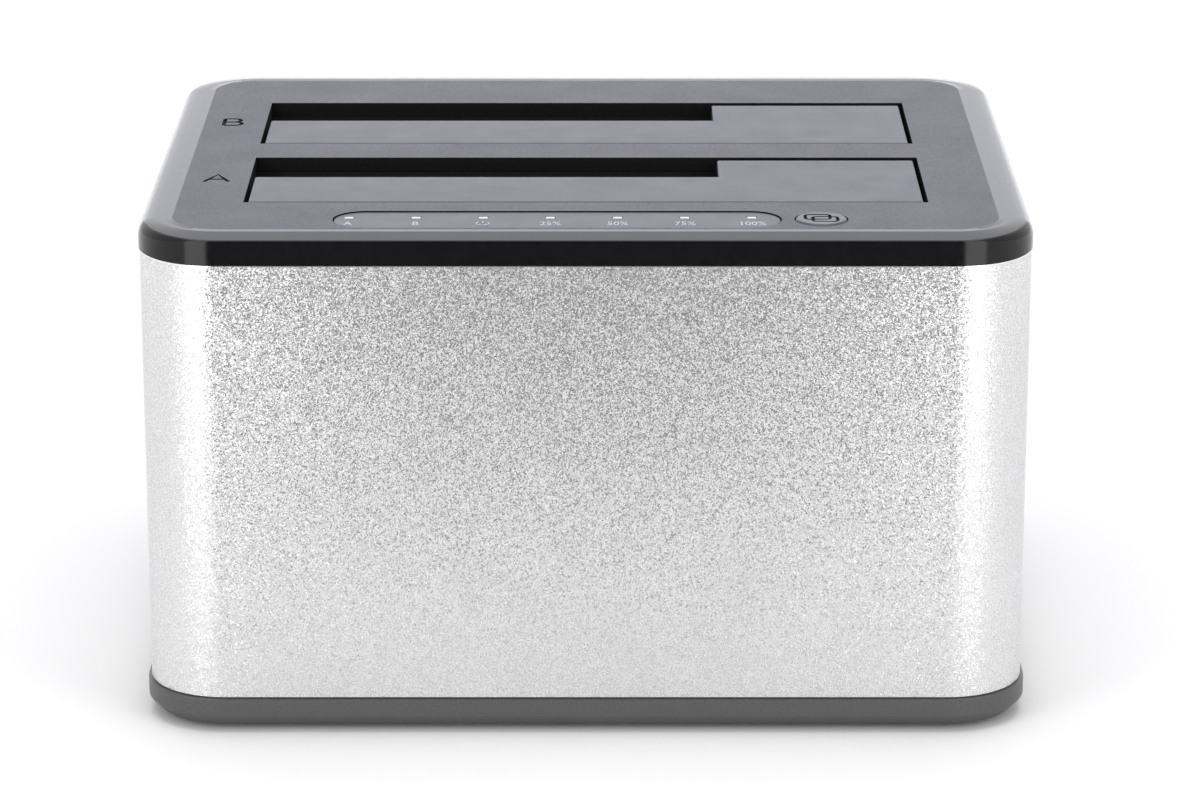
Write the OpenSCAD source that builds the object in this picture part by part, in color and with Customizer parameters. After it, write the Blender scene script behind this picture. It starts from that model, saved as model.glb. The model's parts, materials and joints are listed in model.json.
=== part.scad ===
// Dual-bay docking station for bare 3.5 and 2.5 inch drives.
// An aluminium sleeve is clamped between a plastic top cover and a plastic base.
// Origin: centre of the footprint, on the surface that the feet stand on.
// +X is to the right, -Y is the front, +Z is up. Millimetres.

/* [Sleeve] */
// Width of the sleeve, side to side
sleeve_w = 134; // [133:0.5:150]
// Depth of the sleeve, front to back
sleeve_d = 107; // [106.5:0.5:125]
// Height of the sleeve
sleeve_h = 68.3; // [66:0.1:80]
// Wall of the sleeve
sleeve_wall = 1.5; // [1.2:0.1:1.8]
// Outer radius of the upright corners
corner_r = 12; // [10:0.5:14]

/* [Top cover] */
// Thickness of the cover's top plate
cover_t = 2.2; // [2:0.1:2.4]
// Height of the upright band round the cover
band_h = 3.8; // [3:0.1:6]
// Width of the shallow slope between the band and the flat top
bevel_w = 5; // [3.5:0.1:6]
// Drop of that slope
bevel_drop = 0.5; // [0.3:0.1:0.8]
// Radius that rounds the band's upper edge
band_round = 1.4; // [0.8:0.1:1.8]
// How far the cover stands proud of the sleeve
cover_proud = 0.15; // [0:0.05:0.3]
// Depth of the locating lip inside the sleeve
cover_lip_h = 3; // [2:0.5:4]

/* [Base] */
// Height of the base under the sleeve
base_h = 4.5; // [4.3:0.1:6]
// Size of the slope round the base's lower edge
base_chamfer = 1.7; // [1:0.1:2]
// How far the base stands proud of the sleeve
base_proud = 0.5; // [0.3:0.1:1]
// Thickness of the base's floor
base_floor = 2.2; // [2:0.1:2.4]
// Height of the locating lip inside the sleeve
base_lip_h = 2; // [1:0.1:2]
// Wall of both locating lips
lip_wall = 1.4; // [1:0.1:1.8]
// Gap between a lip and the sleeve
lip_gap = 0.15; // [0.1:0.05:0.2]
// Diameter of a rubber foot
foot_d = 11; // [8:0.5:13]
// Height of a foot below the base
foot_proud = 0.9; // [0.6:0.1:2]
// Distance from the sleeve's side to the middle of a foot
foot_x = 10.5; // [10:0.5:20]
// Distance from the sleeve's front or back to the middle of a foot
foot_y = 10.5; // [10:0.5:18]
// Number of vent slots in the base
vent_count = 9; // [5:2:11]
// Width of a vent slot
vent_w = 2; // [1.5:0.1:3]
// Length of a vent slot
vent_l = 24; // [10:1:30]
// Spacing of the vent slots
vent_pitch = 6; // [5:0.5:7]

/* [Bays] */
// Width of a slot: a 3.5 inch drive is 101.6 wide
slot_w = 104; // [103:0.5:106]
// Depth of a slot, front to back
slot_d = 28; // [27.5:0.1:28.5]
// Distance from the first slot to the second
slot_pitch = 37.2; // [37:0.1:38]
// Distance from the sleeve's front to the first slot
slot_front = 20.5; // [20:0.1:21]
// Wall of the drive cage
cage_wall = 1.5; // [1.2:0.1:1.7]
// Gap between a slot's edge and the cage wall behind it
well_gap = 0.2; // [0.1:0.05:0.3]
// Height of the cage floor above the main board
floor_h = 3.4; // [3.2:0.1:5]
// Thickness of the cage floor
floor_t = 1.5; // [1.2:0.1:2]

/* [Flaps] */
// Thickness of a flap
flap_t = 2; // [1.6:0.1:2.1]
// Width of the notch that takes a 2.5 inch drive
notch_w = 72.5; // [71:0.5:75]
// Depth of the opening that the notch leaves
notch_d = 12.2; // [10:0.1:14]
// Gap at a flap's sides
flap_side = 0.7; // [0.4:0.05:1]
// Hairline gap at a flap's front
flap_front = 0.3; // [0.25:0.05:0.4]
// Gap at a flap's back
flap_back = 1.7; // [1.2:0.1:2.2]
// Gap between an opened flap and the cage's front wall
flap_run = 0.3; // [0.2:0.05:0.4]
// Distance of the hinge axis in front of the slot's edge, and below it
hinge_in = 4.3; // [4.2:0.05:4.4]
// Diameter of a hinge pin
pin_d = 2; // [1.6:0.1:2.2]
// Outer radius of a flap's hinge barrel
barrel_r = 1.7; // [1.6:0.05:1.8]
// Width of a hinge arm
arm_w = 6; // [4:0.5:7]
// Distance of a hinge arm from the middle
arm_x = 39; // [36:0.5:40]
// Radial clearance of a flap on its pin
pin_run = 0.05; // [0.03:0.01:0.08]
// Radial clearance of a pin in the cover's lugs
pin_seat = 0.03; // [0.02:0.01:0.05]
// Wire diameter of a flap spring
wire_d = 0.5; // [0.4:0.05:0.5]
// Turns of a flap spring
spring_turns = 4; // [3:1:6]

/* [Indicators] */
// Width of the indicator strip
strip_w = 67.1; // [66.5:0.1:68]
// Depth of the strip, front to back
strip_d = 9.5; // [8.5:0.1:10]
// Thickness of the strip
strip_t = 0.8; // [0.6:0.1:1]
// Left end of the strip
strip_x = -37.8; // [-38.5:0.1:-37]
// Distance from the first slot's front edge to the strip
strip_back = 5.3; // [5:0.1:5.6]
// Number of indicator lights
led_count = 7; // [3:1:7]
// Spacing of the lights
led_pitch = 10.07; // [9.5:0.01:10.1]
// Distance from the strip's left end to the first light
led_in = 2.3; // [2.2:0.1:3]
// Distance from the first slot's front edge to the lights
led_back = 8.5; // [8:0.1:9]
// Width of a light window
window_w = 1.4; // [1:0.1:1.8]
// Depth of a light window, front to back
window_d = 2; // [1.6:0.1:2.2]

/* [Clone button] */
// Diameter of the button
button_d = 7.8; // [7:0.1:8]
// Gap round the button
button_gap = 0.15; // [0.1:0.01:0.2]
// Middle of the button, to the side
button_x = 35.3; // [34.5:0.1:37]
// Distance from the first slot's front edge to the middle of the button
button_back = 10.1; // [10:0.1:10.5]
// How far the button stands proud of the cover
button_proud = 0.2; // [0:0.05:0.5]
// Travel of the button
button_travel = 0.6; // [0.3:0.1:0.7]

/* [Boards] */
// Thickness of the main board
board_t = 1.6; // [1.2:0.1:1.6]
// Height of the main board above the base's floor
board_up = 2.9; // [2.5:0.1:4]
// Thickness of the indicator board
led_board_t = 1.2; // [1:0.1:1.6]
// Height of the push switch, with its plunger
tact_h = 4.3; // [3.8:0.1:5]
// Width of a drive connector
sata_w = 40; // [38:0.5:42]
// Thickness of a drive connector
sata_t = 6; // [5.5:0.1:6.5]
// Height of a drive connector
sata_h = 9; // [8:0.1:10]

/* [Rear ports] */
// Middle of the power switch, seen from the front
rocker_x = 36; // [33:0.5:38]
// Middle of the power inlet
jack_x = 14; // [12:0.5:16]
// Middle of the data port
usb_x = -12; // [-14:0.5:-8]
// Gap between a port and its window in the sleeve
port_gap = 0.3; // [0.2:0.05:0.5]
// Tilt of the power switch's rocker to either side
rocker_tilt = 7; // [5:0.5:7]

/* [Hidden] */
$fn = 48;

// Small clearances and overlaps shared by many pieces
over = 1;
seat_gap = 0.1;
thread_gap = 0.05;

// Levels, from the surface that the feet stand on
z_base = foot_proud;
z_sleeve = z_base + base_h;
z_cover = z_sleeve + sleeve_h;
z_top = z_cover + band_h + bevel_drop;
z_under = z_top - cover_t;
z_base_in = z_base + base_floor;
z_board = z_base_in + board_up;
z_board_top = z_board + board_t;
z_floor = z_board_top + floor_h;

// Places of the bays; bay 0 is the front one, marked A, and bay 1 the rear one, marked B
front_y = -sleeve_d / 2;
back_y = sleeve_d / 2;
function slot_y(bay) = front_y + slot_front + bay * slot_pitch;
function hinge_y(bay) = slot_y(bay) - hinge_in;
hinge_z = z_top - hinge_in;
well_recess = flap_t + flap_run;
cage_half = slot_w / 2 + well_gap + cage_wall;
cage_front = slot_y(0) - well_recess - cage_wall;
cage_back = slot_y(1) + slot_d + well_gap + cage_wall;

// Rim of the cover and of the base, as a profile swept round the sleeve's outline
lip_out = sleeve_wall + lip_gap;
lip_in = lip_out + lip_wall;
base_rim_w = 6;
foot_at = [sleeve_w / 2 - foot_x, sleeve_d / 2 - foot_y];
slope_angle = atan(bevel_drop / bevel_w);
round_x = cover_proud - band_round;
round_z = z_top - bevel_drop / bevel_w * (round_x + bevel_w) - band_round / cos(slope_angle);
round_steps = 6;

// Posts and tabs at the front and back of the cage
boss_r = 3.6;
boss_in = 1.2;
post_gap = 0.5;
post_x = 23.5;
post_front = cage_front - boss_r + boss_in;
post_back = cage_back + boss_r - boss_in;
post_l = 28;
post_top = z_floor + post_l;
tab_front = cage_front - boss_r - seat_gap;
tab_back = cage_back + boss_r + seat_gap;
tab_t = 3;
tab_drop = 14;
tab_z = z_under - tab_drop;
rib_t = 2;

// Screws: shank radius, head radius and head height
case_screw = [1.5, 2.75, 2];
small_screw = [1.25, 2.2, 1.6];
fine_screw = [1, 1.8, 1.2];
case_screw_l = 14;
cage_screw_l = 8;
led_screw_l = 4;
board_screw_l = 4;
screw_sink = 2.6;
sink_gap = 0.4;
case_boss_top = z_board_top + 1.4;
foot_sink = 0.6;
foot_gap = 0.2;

// Hinges
pin_r = pin_d / 2;
lug_r = 2.2;
lug_w = 3;
lug_gap = 0.3;
lug_x = arm_x + arm_w / 2 + lug_gap + lug_w / 2;
pin_half = lug_x + lug_w / 2;
arm_top = hinge_in - cover_t - 0.15;
arm_reach = 3;
arm_pad = 0.8;
arm_window = 0.5;
coil_r = pin_r + 0.2 + wire_d / 2;
coil_pitch = wire_d + 0.06;
coil_steps = 12;
wire_sides = 6;
wire_gap = 0.03;
fixed_leg = 2;
free_leg = 3;
leave_angle = 35;

// Indicator board and button
strip_y = slot_y(0) - strip_back - strip_d / 2;
led_y = slot_y(0) - led_back;
function led_x(i) = strip_x + led_in + i * led_pitch;
button_y = slot_y(0) - button_back;
flange_r = button_d / 2 + 1;
flange_t = 0.8;
flange_gap = 0.2;
flat_y = button_d / 2 - 0.3;
flange_z = z_under - flange_gap - flange_t;
tact_w = 6;
tact_stroke = 0.8;
plunger_r = 1.7;
plunger_depth = 1.6;
led_board_top = flange_z - tact_h;
led_board_z = led_board_top - led_board_t;
led_board_gap = 0.3;
led_board_front = front_y + lip_in + led_board_gap;
led_board_back = hinge_y(0) - lug_r - led_board_gap;
led_boss_r = 2.6;
led_boss_x = button_x + flange_r + led_boss_r + led_board_gap;
led_boss_y = (led_board_front + led_board_back) / 2;
led_board_w = 2 * (led_boss_x + led_boss_r + flange_gap);
resistor_in = 4;
resistor_size = [1.6, 0.8, 0.5];
tab_x = led_board_w / 2 + boss_r + 2 * flange_gap;
stop_t = 1;
led_size = [2, 1.25, 0.8];
guide_gap = 0.05;
guide_bar_t = 1.2;
guide_bar_d = 3;

// Ribbon cable
ribbon_w = 8;
ribbon_t = 0.3;
ribbon_x = -5;
ribbon_top_y = led_boss_y;
ribbon_in = 11.5;
ribbon_low_y = front_y + ribbon_in;
header_w = 10;
header_d = 4;
upper_header_h = 2.5;
lower_header_h = 5;
ribbon_bow = 4;
ribbon_steps = 14;

// Main board
board_gap = 0.25;
board_setback = 6;
board_hole_in = 5;
board_half = sleeve_w / 2 - lip_in - board_gap;
board_front = front_y + sleeve_wall + board_setback;
board_back = back_y - lip_in - board_gap;
board_hole_x = board_half - board_hole_in;
board_hole_front = board_front + board_hole_in;
board_hole_back = board_back - board_hole_in;
chip_x = 24;
chip_body = 12;
chip_t = 1.2;
chip_pins = 11;
chip_pitch = 1;
chip_leg = [0.3, 1.2, 0.2];
crystal_x = 40;
crystal_size = [10.5, 4.6, 2.5];
inductor_x = 33;
inductor_w = 7;
inductor_h = 3;
inductor_step = 11;
cap_r = 3.15;
cap_h = 7.7;
cap_step = 7;
cap_x = -31;

// Drive connectors
sata_in = 21.9;
sata_back = 3.9;
sata_x = -slot_w / 2 + sata_in;
function sata_y(bay) = slot_y(bay) + slot_d + well_gap - sata_back;
sata_room = 0.6;
sata_slot_t = 1.4;
sata_slot_h = 6.5;
sata_key = 1.1;
sata_mid = 1.4;
sata_end = 1.1;
tower_w = 2.6;
tower_h = 2;
tower_tip = 0.6;
data_pins = 7;
power_pins = 15;
blade_spare = 1.63;
contact_pitch = (sata_w - 2 * (tower_w + sata_end + blade_spare) - sata_mid) / (data_pins + power_pins);
data_w = data_pins * contact_pitch + blade_spare;
power_w = power_pins * contact_pitch + blade_spare;
data_x = -sata_w / 2 + tower_w + sata_end;
power_x = data_x + data_w + sata_mid;
contact_w = 0.6;
contact_t = 0.3;

// Rear ports: each size is width, depth, height
port_face = back_y - 0.3;
usb_size = [12, 16.2, 13];
usb_wall = 0.5;
jack_size = [9, 14, 11];
jack_bore_r = 3.15;
jack_bore_l = 9.5;
jack_up = 6.5;
jack_pin_r = 1;
rocker_size = [15, 12, 10.5];
rocker_face = back_y - 1;
rocker_half = 5.5;
rocker_h = 8;
rocker_front = 1.7;
rocker_pivot_y = rocker_face - rocker_front * cos(rocker_tilt);
rocker_z = z_board_top + rocker_size[2] / 2;
trunnion_r = 0.8;
trunnion_l = 0.6;

// Shared shapes

// Outline with round corners
module rounded_outline(w, d, r) {
  square([w - 2 * r, d], center = true);
  square([w, d - 2 * r], center = true);
  for (x = [-1, 1], y = [-1, 1]) translate([x * (w / 2 - r), y * (d / 2 - r)]) circle(r);
}

// Block with round upright corners, standing at height z
module rounded_block(w, d, h, r, z = 0) {
  translate([0, 0, z]) linear_extrude(h) rounded_outline(w, d, r);
}

// Sweeps a profile round the sleeve's outline: x = 0 in the profile is the sleeve's outer face
module swept_rim() {
  for (k = [0:3]) {
    run = k % 2 == 0 ? sleeve_w : sleeve_d;
    out = k % 2 == 0 ? sleeve_d : sleeve_w;
    rotate(90 * k) {
      translate([corner_r - run / 2, out / 2, 0])
        rotate([90, 0, 90]) linear_extrude(run - 2 * corner_r) children();
      translate([run / 2 - corner_r, out / 2 - corner_r, 0])
        rotate_extrude(angle = 90) translate([corner_r, 0]) children();
    }
  }
}

// Cylinder that lies along X from x0 to x1, at the origin of Y and Z
module rod_x(r, x0, x1) {
  translate([x0, 0, 0]) rotate([0, 90, 0]) cylinder(r = r, h = x1 - x0);
}

// Pan-head screw that points up from its head; the head's seat is at the origin
module screw(size, l) {
  cylinder(r = size[0], h = l);
  translate([0, 0, -size[2]]) cylinder(r = size[1], h = size[2]);
}

// Pill-shaped plate with round ends
module pill(w, d, h) {
  linear_extrude(h) {
    square([w - d, d], center = true);
    for (x = [-1, 1]) translate([x * (w - d) / 2, 0]) circle(d / 2);
  }
}

// Places a child at each of four points
module at_corners(x, y0, y1) {
  for (px = [-x, x], py = [y0, y1]) translate([px, py, 0]) children();
}

// Window in the sleeve's rear wall for a port
module port_window(x, size) {
  translate([x - size[0] / 2 - port_gap, back_y - sleeve_wall - over, z_board_top - port_gap])
    cube([size[0] + 2 * port_gap, sleeve_wall + 2 * over, size[2] + 2 * port_gap]);
}

// Case pieces

module sleeve() color([0.78, 0.78, 0.8]) difference() {
  rounded_block(sleeve_w, sleeve_d, sleeve_h, corner_r, z_sleeve);
  rounded_block(sleeve_w - 2 * sleeve_wall, sleeve_d - 2 * sleeve_wall, sleeve_h + 2 * over,
    corner_r - sleeve_wall, z_sleeve - over);
  port_window(usb_x, usb_size);
  port_window(jack_x, jack_size);
  port_window(rocker_x, rocker_size);
}

// Cross-section of the cover's edge: slope, round, band, seat and locating lip
module cover_profile() polygon(concat(
  [[-bevel_w, z_under], [-bevel_w, z_top]],
  [for (i = [0:round_steps]) let (a = (90 - slope_angle) * (1 - i / round_steps))
    [round_x + band_round * cos(a), round_z + band_round * sin(a)]],
  [[cover_proud, z_cover], [-lip_out, z_cover], [-lip_out, z_cover - cover_lip_h],
    [-lip_in, z_cover - cover_lip_h], [-lip_in, z_under]]));

// Lugs under the cover that hold one hinge pin
module hinge_lugs(bay) {
  for (x = [-lug_x, 0, lug_x]) translate([x - lug_w / 2, hinge_y(bay), hinge_z]) {
    rod_x(lug_r, 0, lug_w);
    translate([0, -lug_r, 0]) cube([lug_w, 2 * lug_r, z_under - hinge_z]);
  }
}

module top_cover() color([0.1, 0.1, 0.11]) difference() {
  union() {
    rounded_block(sleeve_w - 2 * bevel_w, sleeve_d - 2 * bevel_w, cover_t, corner_r - bevel_w, z_under);
    swept_rim() cover_profile();
    for (bay = [0, 1]) hinge_lugs(bay);
    for (x = [-1, 1]) translate([x * led_boss_x, led_boss_y, led_board_top])
      cylinder(r = led_boss_r, h = z_under - led_board_top);
    at_corners(tab_x, tab_front, tab_back) translate([0, 0, tab_z + tab_t])
      cylinder(r = boss_r, h = z_under - tab_z - tab_t);
    translate([button_x - flat_y, button_y - flat_y - seat_gap - stop_t, flange_z])
      cube([2 * flat_y, stop_t, z_under - flange_z]);
  }
  for (bay = [0, 1]) {
    translate([-slot_w / 2, slot_y(bay), z_under - over]) cube([slot_w, slot_d, cover_t + 2 * over]);
    translate([0, hinge_y(bay), hinge_z]) rod_x(pin_r + pin_seat, -pin_half - over, pin_half + over);
  }
  translate([strip_x + strip_w / 2, strip_y, z_top - strip_t])
    pill(strip_w + 2 * seat_gap, strip_d + 2 * seat_gap, strip_t + over);
  for (i = [0:led_count - 1]) translate([led_x(i), led_y, z_top - cover_t / 2])
    cube([window_w + 2 * seat_gap, window_d + 2 * seat_gap, cover_t + 2 * over], center = true);
  translate([button_x, button_y, z_under - over])
    cylinder(r = button_d / 2 + button_gap, h = cover_t + 2 * over);
  for (x = [-1, 1]) translate([x * led_boss_x, led_boss_y, led_board_top - over])
    cylinder(r = fine_screw[0] + thread_gap, h = led_screw_l + over);
  at_corners(tab_x, tab_front, tab_back) translate([0, 0, tab_z + tab_t - over])
    cylinder(r = small_screw[0] + thread_gap, h = cage_screw_l + over);
}

// Cross-section of the base's edge: slope, upright side, seat and locating lip
module base_profile() polygon([
  [-base_rim_w, z_base], [base_proud - base_chamfer, z_base], [base_proud, z_base + base_chamfer],
  [base_proud, z_sleeve], [-lip_out, z_sleeve], [-lip_out, z_sleeve + base_lip_h],
  [-lip_in, z_sleeve + base_lip_h], [-lip_in, z_base_in], [-base_rim_w, z_base_in]]);

module base_tray() color([0.12, 0.12, 0.13]) difference() {
  union() {
    rounded_block(sleeve_w - 2 * base_rim_w, sleeve_d - 2 * base_rim_w, base_floor,
      corner_r - base_rim_w, z_base);
    swept_rim() base_profile();
    at_corners(post_x, post_front, post_back) translate([0, 0, z_base_in])
      cylinder(r = boss_r, h = case_boss_top - z_base_in);
    at_corners(post_x, post_front, post_back) translate([0, 0, z_base])
      cylinder(r = case_screw[1] + sink_gap + cage_wall, h = screw_sink + cage_wall);
    at_corners(board_hole_x, board_hole_front, board_hole_back) translate([0, 0, z_base_in])
      cylinder(r = small_screw[1] + post_gap, h = board_up);
  }
  at_corners(post_x, post_front, post_back) {
    translate([0, 0, z_base - over]) cylinder(r = case_screw[1] + sink_gap, h = screw_sink + over);
    translate([0, 0, z_base]) cylinder(r = case_screw[0] + 2 * thread_gap, h = case_boss_top);
  }
  at_corners(board_hole_x, board_hole_front, board_hole_back)
    translate([0, 0, z_board_top - board_screw_l - seat_gap])
      cylinder(r = small_screw[0] + thread_gap, h = board_screw_l + over);
  at_corners(foot_at[0], -foot_at[1], foot_at[1]) translate([0, 0, z_base - over])
    cylinder(r = foot_d / 2 + foot_gap, h = foot_sink + over);
  for (i = [0:vent_count - 1]) translate([(i - (vent_count - 1) / 2) * vent_pitch, 0, z_base - over])
    rotate(90) pill(vent_l, vent_w, base_floor + 2 * over);
}

module rubber_feet() color([0.05, 0.05, 0.05]) at_corners(foot_at[0], -foot_at[1], foot_at[1]) {
  cylinder(r1 = foot_d / 2 - foot_gap, r2 = foot_d / 2, h = foot_proud / 2);
  translate([0, 0, foot_proud / 2]) cylinder(r = foot_d / 2, h = foot_proud / 2 + foot_sink);
}

// Inside space of one drive well, with its recess for the opened flap
module well(bay) {
  translate([-slot_w / 2 - well_gap, slot_y(bay) - well_recess, z_floor + floor_t])
    cube([slot_w + 2 * well_gap, slot_d + well_recess + well_gap, z_top]);
}

// Room above and in front of one well for the hinge pin, its lugs and the swinging arms
module hinge_room(bay) {
  low = hinge_z - lug_r - lug_gap;
  front = slot_y(bay) - well_recess - cage_wall - (bay == 0 ? over : 0);
  translate([-slot_w / 2 - well_gap, front, low])
    cube([slot_w + 2 * well_gap, cage_wall + 2 * over, z_top]);
  for (x = [-arm_x, arm_x])
    translate([x - arm_w / 2 - arm_window, front, hinge_z - hinge_in - arm_reach - arm_window - lug_gap])
      cube([arm_w + 2 * arm_window, cage_wall + 2 * over, z_top]);
}

module drive_cage() color([0.07, 0.07, 0.08]) {
  top = z_under - seat_gap;
  difference() {
    translate([-cage_half, cage_front, z_floor]) cube([2 * cage_half, cage_back - cage_front, top - z_floor]);
    for (bay = [0, 1]) {
      well(bay);
      hinge_room(bay);
      translate([sata_x - sata_w / 2 - sata_room, sata_y(bay) - sata_t / 2 - sata_room, z_floor - over])
        cube([sata_w + 2 * sata_room, sata_t + 2 * sata_room, floor_t + 2 * over]);
    }
    between = slot_y(0) + slot_d + well_gap + cage_wall;
    translate([-slot_w / 2 - well_gap, between, z_floor - over])
      cube([slot_w + 2 * well_gap, slot_y(1) - well_recess - cage_wall - between, z_top]);
  }
  at_corners(post_x, post_front, post_back) cage_post();
  for (side = [-1, 1]) {
    cage_tab(side, tab_front, cage_front + cage_wall / 2);
    cage_tab(side, tab_back, cage_back - cage_wall / 2);
  }
}

// Post against the cage's wall that takes a screw from the base
module cage_post() difference() {
  translate([0, 0, case_boss_top]) cylinder(r = boss_r, h = post_top - case_boss_top);
  translate([0, 0, case_boss_top - over]) cylinder(r = case_screw[0] + thread_gap, h = case_screw_l + over);
}

// Tab on the cage's wall that is screwed up to a boss of the cover, with a gusset under it
module cage_tab(side, y, wall_y) difference() {
  low_y = min(y, wall_y);
  reach = abs(wall_y - y);
  union() {
    translate([side * tab_x, y, tab_z]) cylinder(r = boss_r, h = tab_t);
    translate([side > 0 ? tab_x - 2 * boss_r : -tab_x - boss_r, low_y, tab_z])
      cube([3 * boss_r, reach, tab_t]);
    translate([side * (tab_x - boss_r - rib_t / 2) - rib_t / 2, low_y, tab_z - tab_t])
      cube([rib_t, reach, 2 * tab_t]);
  }
  translate([side * tab_x, y, tab_z - over])
    cylinder(r = small_screw[0] + 2 * thread_gap, h = tab_t + 2 * over);
}

module cage_screws() color("silver") at_corners(tab_x, tab_front, tab_back)
  translate([0, 0, tab_z]) screw(small_screw, cage_screw_l);

module case_screws() color("silver") at_corners(post_x, post_front, post_back)
  translate([0, 0, z_base + screw_sink]) screw(case_screw, case_screw_l);

// Flaps

// Side view of a hinge arm, with the hinge axis at the origin
module arm_profile() {
  circle(barrel_r);
  polygon([[0, -barrel_r], [0, arm_top], [hinge_in + flap_front, arm_top],
    [hinge_in + flap_front, hinge_in - flap_t / 2], [hinge_in + arm_reach, hinge_in - flap_t / 2],
    [hinge_in + arm_reach, hinge_in - flap_t - arm_pad], [hinge_in, -barrel_r]]);
}

// L-shaped flap: full depth at the right, notched at the left for a 2.5 inch drive
module flap(bay) {
  left = -slot_w / 2 + flap_side;
  right = slot_w / 2 - flap_side;
  notch_x = notch_w - slot_w / 2;
  translate([0, slot_y(bay), z_top - flap_t]) linear_extrude(flap_t) polygon([
    [left, flap_front], [right, flap_front], [right, slot_d - flap_back], [notch_x, slot_d - flap_back],
    [notch_x, slot_d - notch_d], [left, slot_d - notch_d]]);
  translate([0, hinge_y(bay), hinge_z]) for (x = [-arm_x, arm_x]) difference() {
    translate([x - arm_w / 2, 0, 0]) rotate([90, 0, 90]) linear_extrude(arm_w) arm_profile();
    rod_x(pin_r + pin_run, x - arm_w, x + arm_w);
  }
}

module hinge_pin(bay) translate([0, hinge_y(bay), hinge_z]) rod_x(pin_r, -pin_half, pin_half);

// Torsion spring on the pin beside an arm: one leg under the cover, the other under the arm
function coil_path() = let (
    turn = spring_turns * 360 + 90 - leave_angle,
    steps = round(turn * coil_steps / 360),
    start_x = wire_d / 2 + lug_gap,
    lift = hinge_in - cover_t - wire_d / 2 - wire_gap)
  concat(
    [[start_x + spring_turns * coil_pitch, -fixed_leg, lift],
      [start_x + spring_turns * coil_pitch, -fixed_leg / 2, (lift + coil_r) / 2 + wire_gap]],
    [for (i = [0:steps]) let (a = 90 - turn * i / steps)
      [start_x + spring_turns * coil_pitch * (1 - i / steps), coil_r * cos(a), coil_r * sin(a)]],
    [[start_x, free_leg, wire_gap - barrel_r - wire_d],
      [-arm_w / 3, free_leg + wire_d, -barrel_r - wire_d / 2 - 2 * wire_gap]]);

// Directions across a path, each turned as little as possible from the one before
function along(p, i) = let (v = p[min(i + 1, len(p) - 1)] - p[max(i - 1, 0)]) v / norm(v);
function across(p, i, last) = let (t = along(p, i), n = last - (last * t) * t) n / norm(n);
function frames(p, i, last) = i == len(p) ? [] : let (n = across(p, i, last))
  concat([n], frames(p, i + 1, n));

// Round wire along a path
module wire(p, r, sides) {
  n = frames(p, 0, [1, 0, 0]);
  rings = len(p);
  points = [for (i = [0:rings - 1], s = [0:sides - 1]) let (b = cross(along(p, i), n[i]), a = 360 * s / sides)
    p[i] + r * (cos(a) * n[i] + sin(a) * b)];
  skin = [for (i = [0:rings - 2], s = [0:sides - 1]) let (s1 = (s + 1) % sides)
    [i * sides + s, (i + 1) * sides + s, (i + 1) * sides + s1, i * sides + s1]];
  polyhedron(points, concat([[for (s = [0:sides - 1]) s]], skin,
    [[for (s = [sides - 1:-1:0]) (rings - 1) * sides + s]]));
}

module flap_springs(bay) translate([0, hinge_y(bay), hinge_z]) {
  inner = arm_x - arm_w / 2;
  translate([-inner, 0, 0]) wire(coil_path(), wire_d / 2, wire_sides);
  mirror([1, 0, 0]) translate([-inner, 0, 0]) wire(coil_path(), wire_d / 2, wire_sides);
}

module flap_a() color([0.3, 0.3, 0.31]) flap(0);
module flap_b() color([0.3, 0.3, 0.31]) flap(1);
module hinge_pin_a() color("silver") hinge_pin(0);
module hinge_pin_b() color("silver") hinge_pin(1);
module flap_springs_a() color("silver") flap_springs(0);
module flap_springs_b() color("silver") flap_springs(1);

// Indicators and button

module indicator_strip() color([0.2, 0.2, 0.21]) difference() {
  translate([strip_x + strip_w / 2, strip_y, z_top - strip_t]) pill(strip_w, strip_d, strip_t);
  for (i = [0:led_count - 1]) translate([led_x(i), led_y, z_top])
    cube([window_w + 2 * guide_gap, window_d + 2 * guide_gap, 2 * strip_t + over], center = true);
}

// One clear prong for each light, joined by a bar under the cover
module light_guide() color([0.9, 0.9, 0.95]) {
  foot_z = led_board_top + led_size[2] + 0.3;
  for (i = [0:led_count - 1]) translate([led_x(i) - window_w / 2, led_y - window_d / 2, foot_z])
    cube([window_w, window_d, z_top - foot_z]);
  translate([led_x(0) - window_w, led_y - guide_bar_d / 2, z_under - seat_gap - guide_bar_t])
    cube([(led_count - 1) * led_pitch + 2 * window_w, guide_bar_d, guide_bar_t]);
}

module led_board() color([0.05, 0.3, 0.15]) difference() {
  translate([-led_board_w / 2, led_board_front, led_board_z])
    cube([led_board_w, led_board_back - led_board_front, led_board_t]);
  for (x = [-1, 1]) translate([x * led_boss_x, led_boss_y, led_board_z - over])
    cylinder(r = fine_screw[0] + 2 * thread_gap, h = led_board_t + 2 * over);
}

module status_leds() color("white") for (i = [0:led_count - 1])
  translate([led_x(i), led_y, led_board_top + led_size[2] / 2]) cube(led_size, center = true);

module led_resistors() color([0.1, 0.1, 0.1]) for (i = [0:led_count - 1])
  translate([led_x(i), led_y - resistor_in, led_board_top + resistor_size[2] / 2])
    cube(resistor_size, center = true);

module led_board_screws() color("silver") for (x = [-1, 1])
  translate([x * led_boss_x, led_boss_y, led_board_z]) screw(fine_screw, led_screw_l);

module clone_button() color([0.25, 0.25, 0.26]) translate([button_x, button_y, 0]) {
  cap_z = z_top + button_proud;
  neck_z = z_under + seat_gap;
  edge = 0.3;
  intersection() {
    union() {
      translate([0, 0, flange_z]) cylinder(r = flange_r, h = flange_t);
      translate([0, 0, flange_z]) cylinder(r = button_d / 2, h = cap_z - edge - flange_z);
    }
    translate([-flange_r, -flat_y, flange_z]) cube([2 * flange_r, 2 * flat_y, neck_z - flange_z]);
  }
  translate([0, 0, neck_z]) cylinder(r = button_d / 2, h = cap_z - edge - neck_z);
  translate([0, 0, cap_z - edge]) cylinder(r1 = button_d / 2, r2 = button_d / 2 - edge, h = edge);
}

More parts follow.
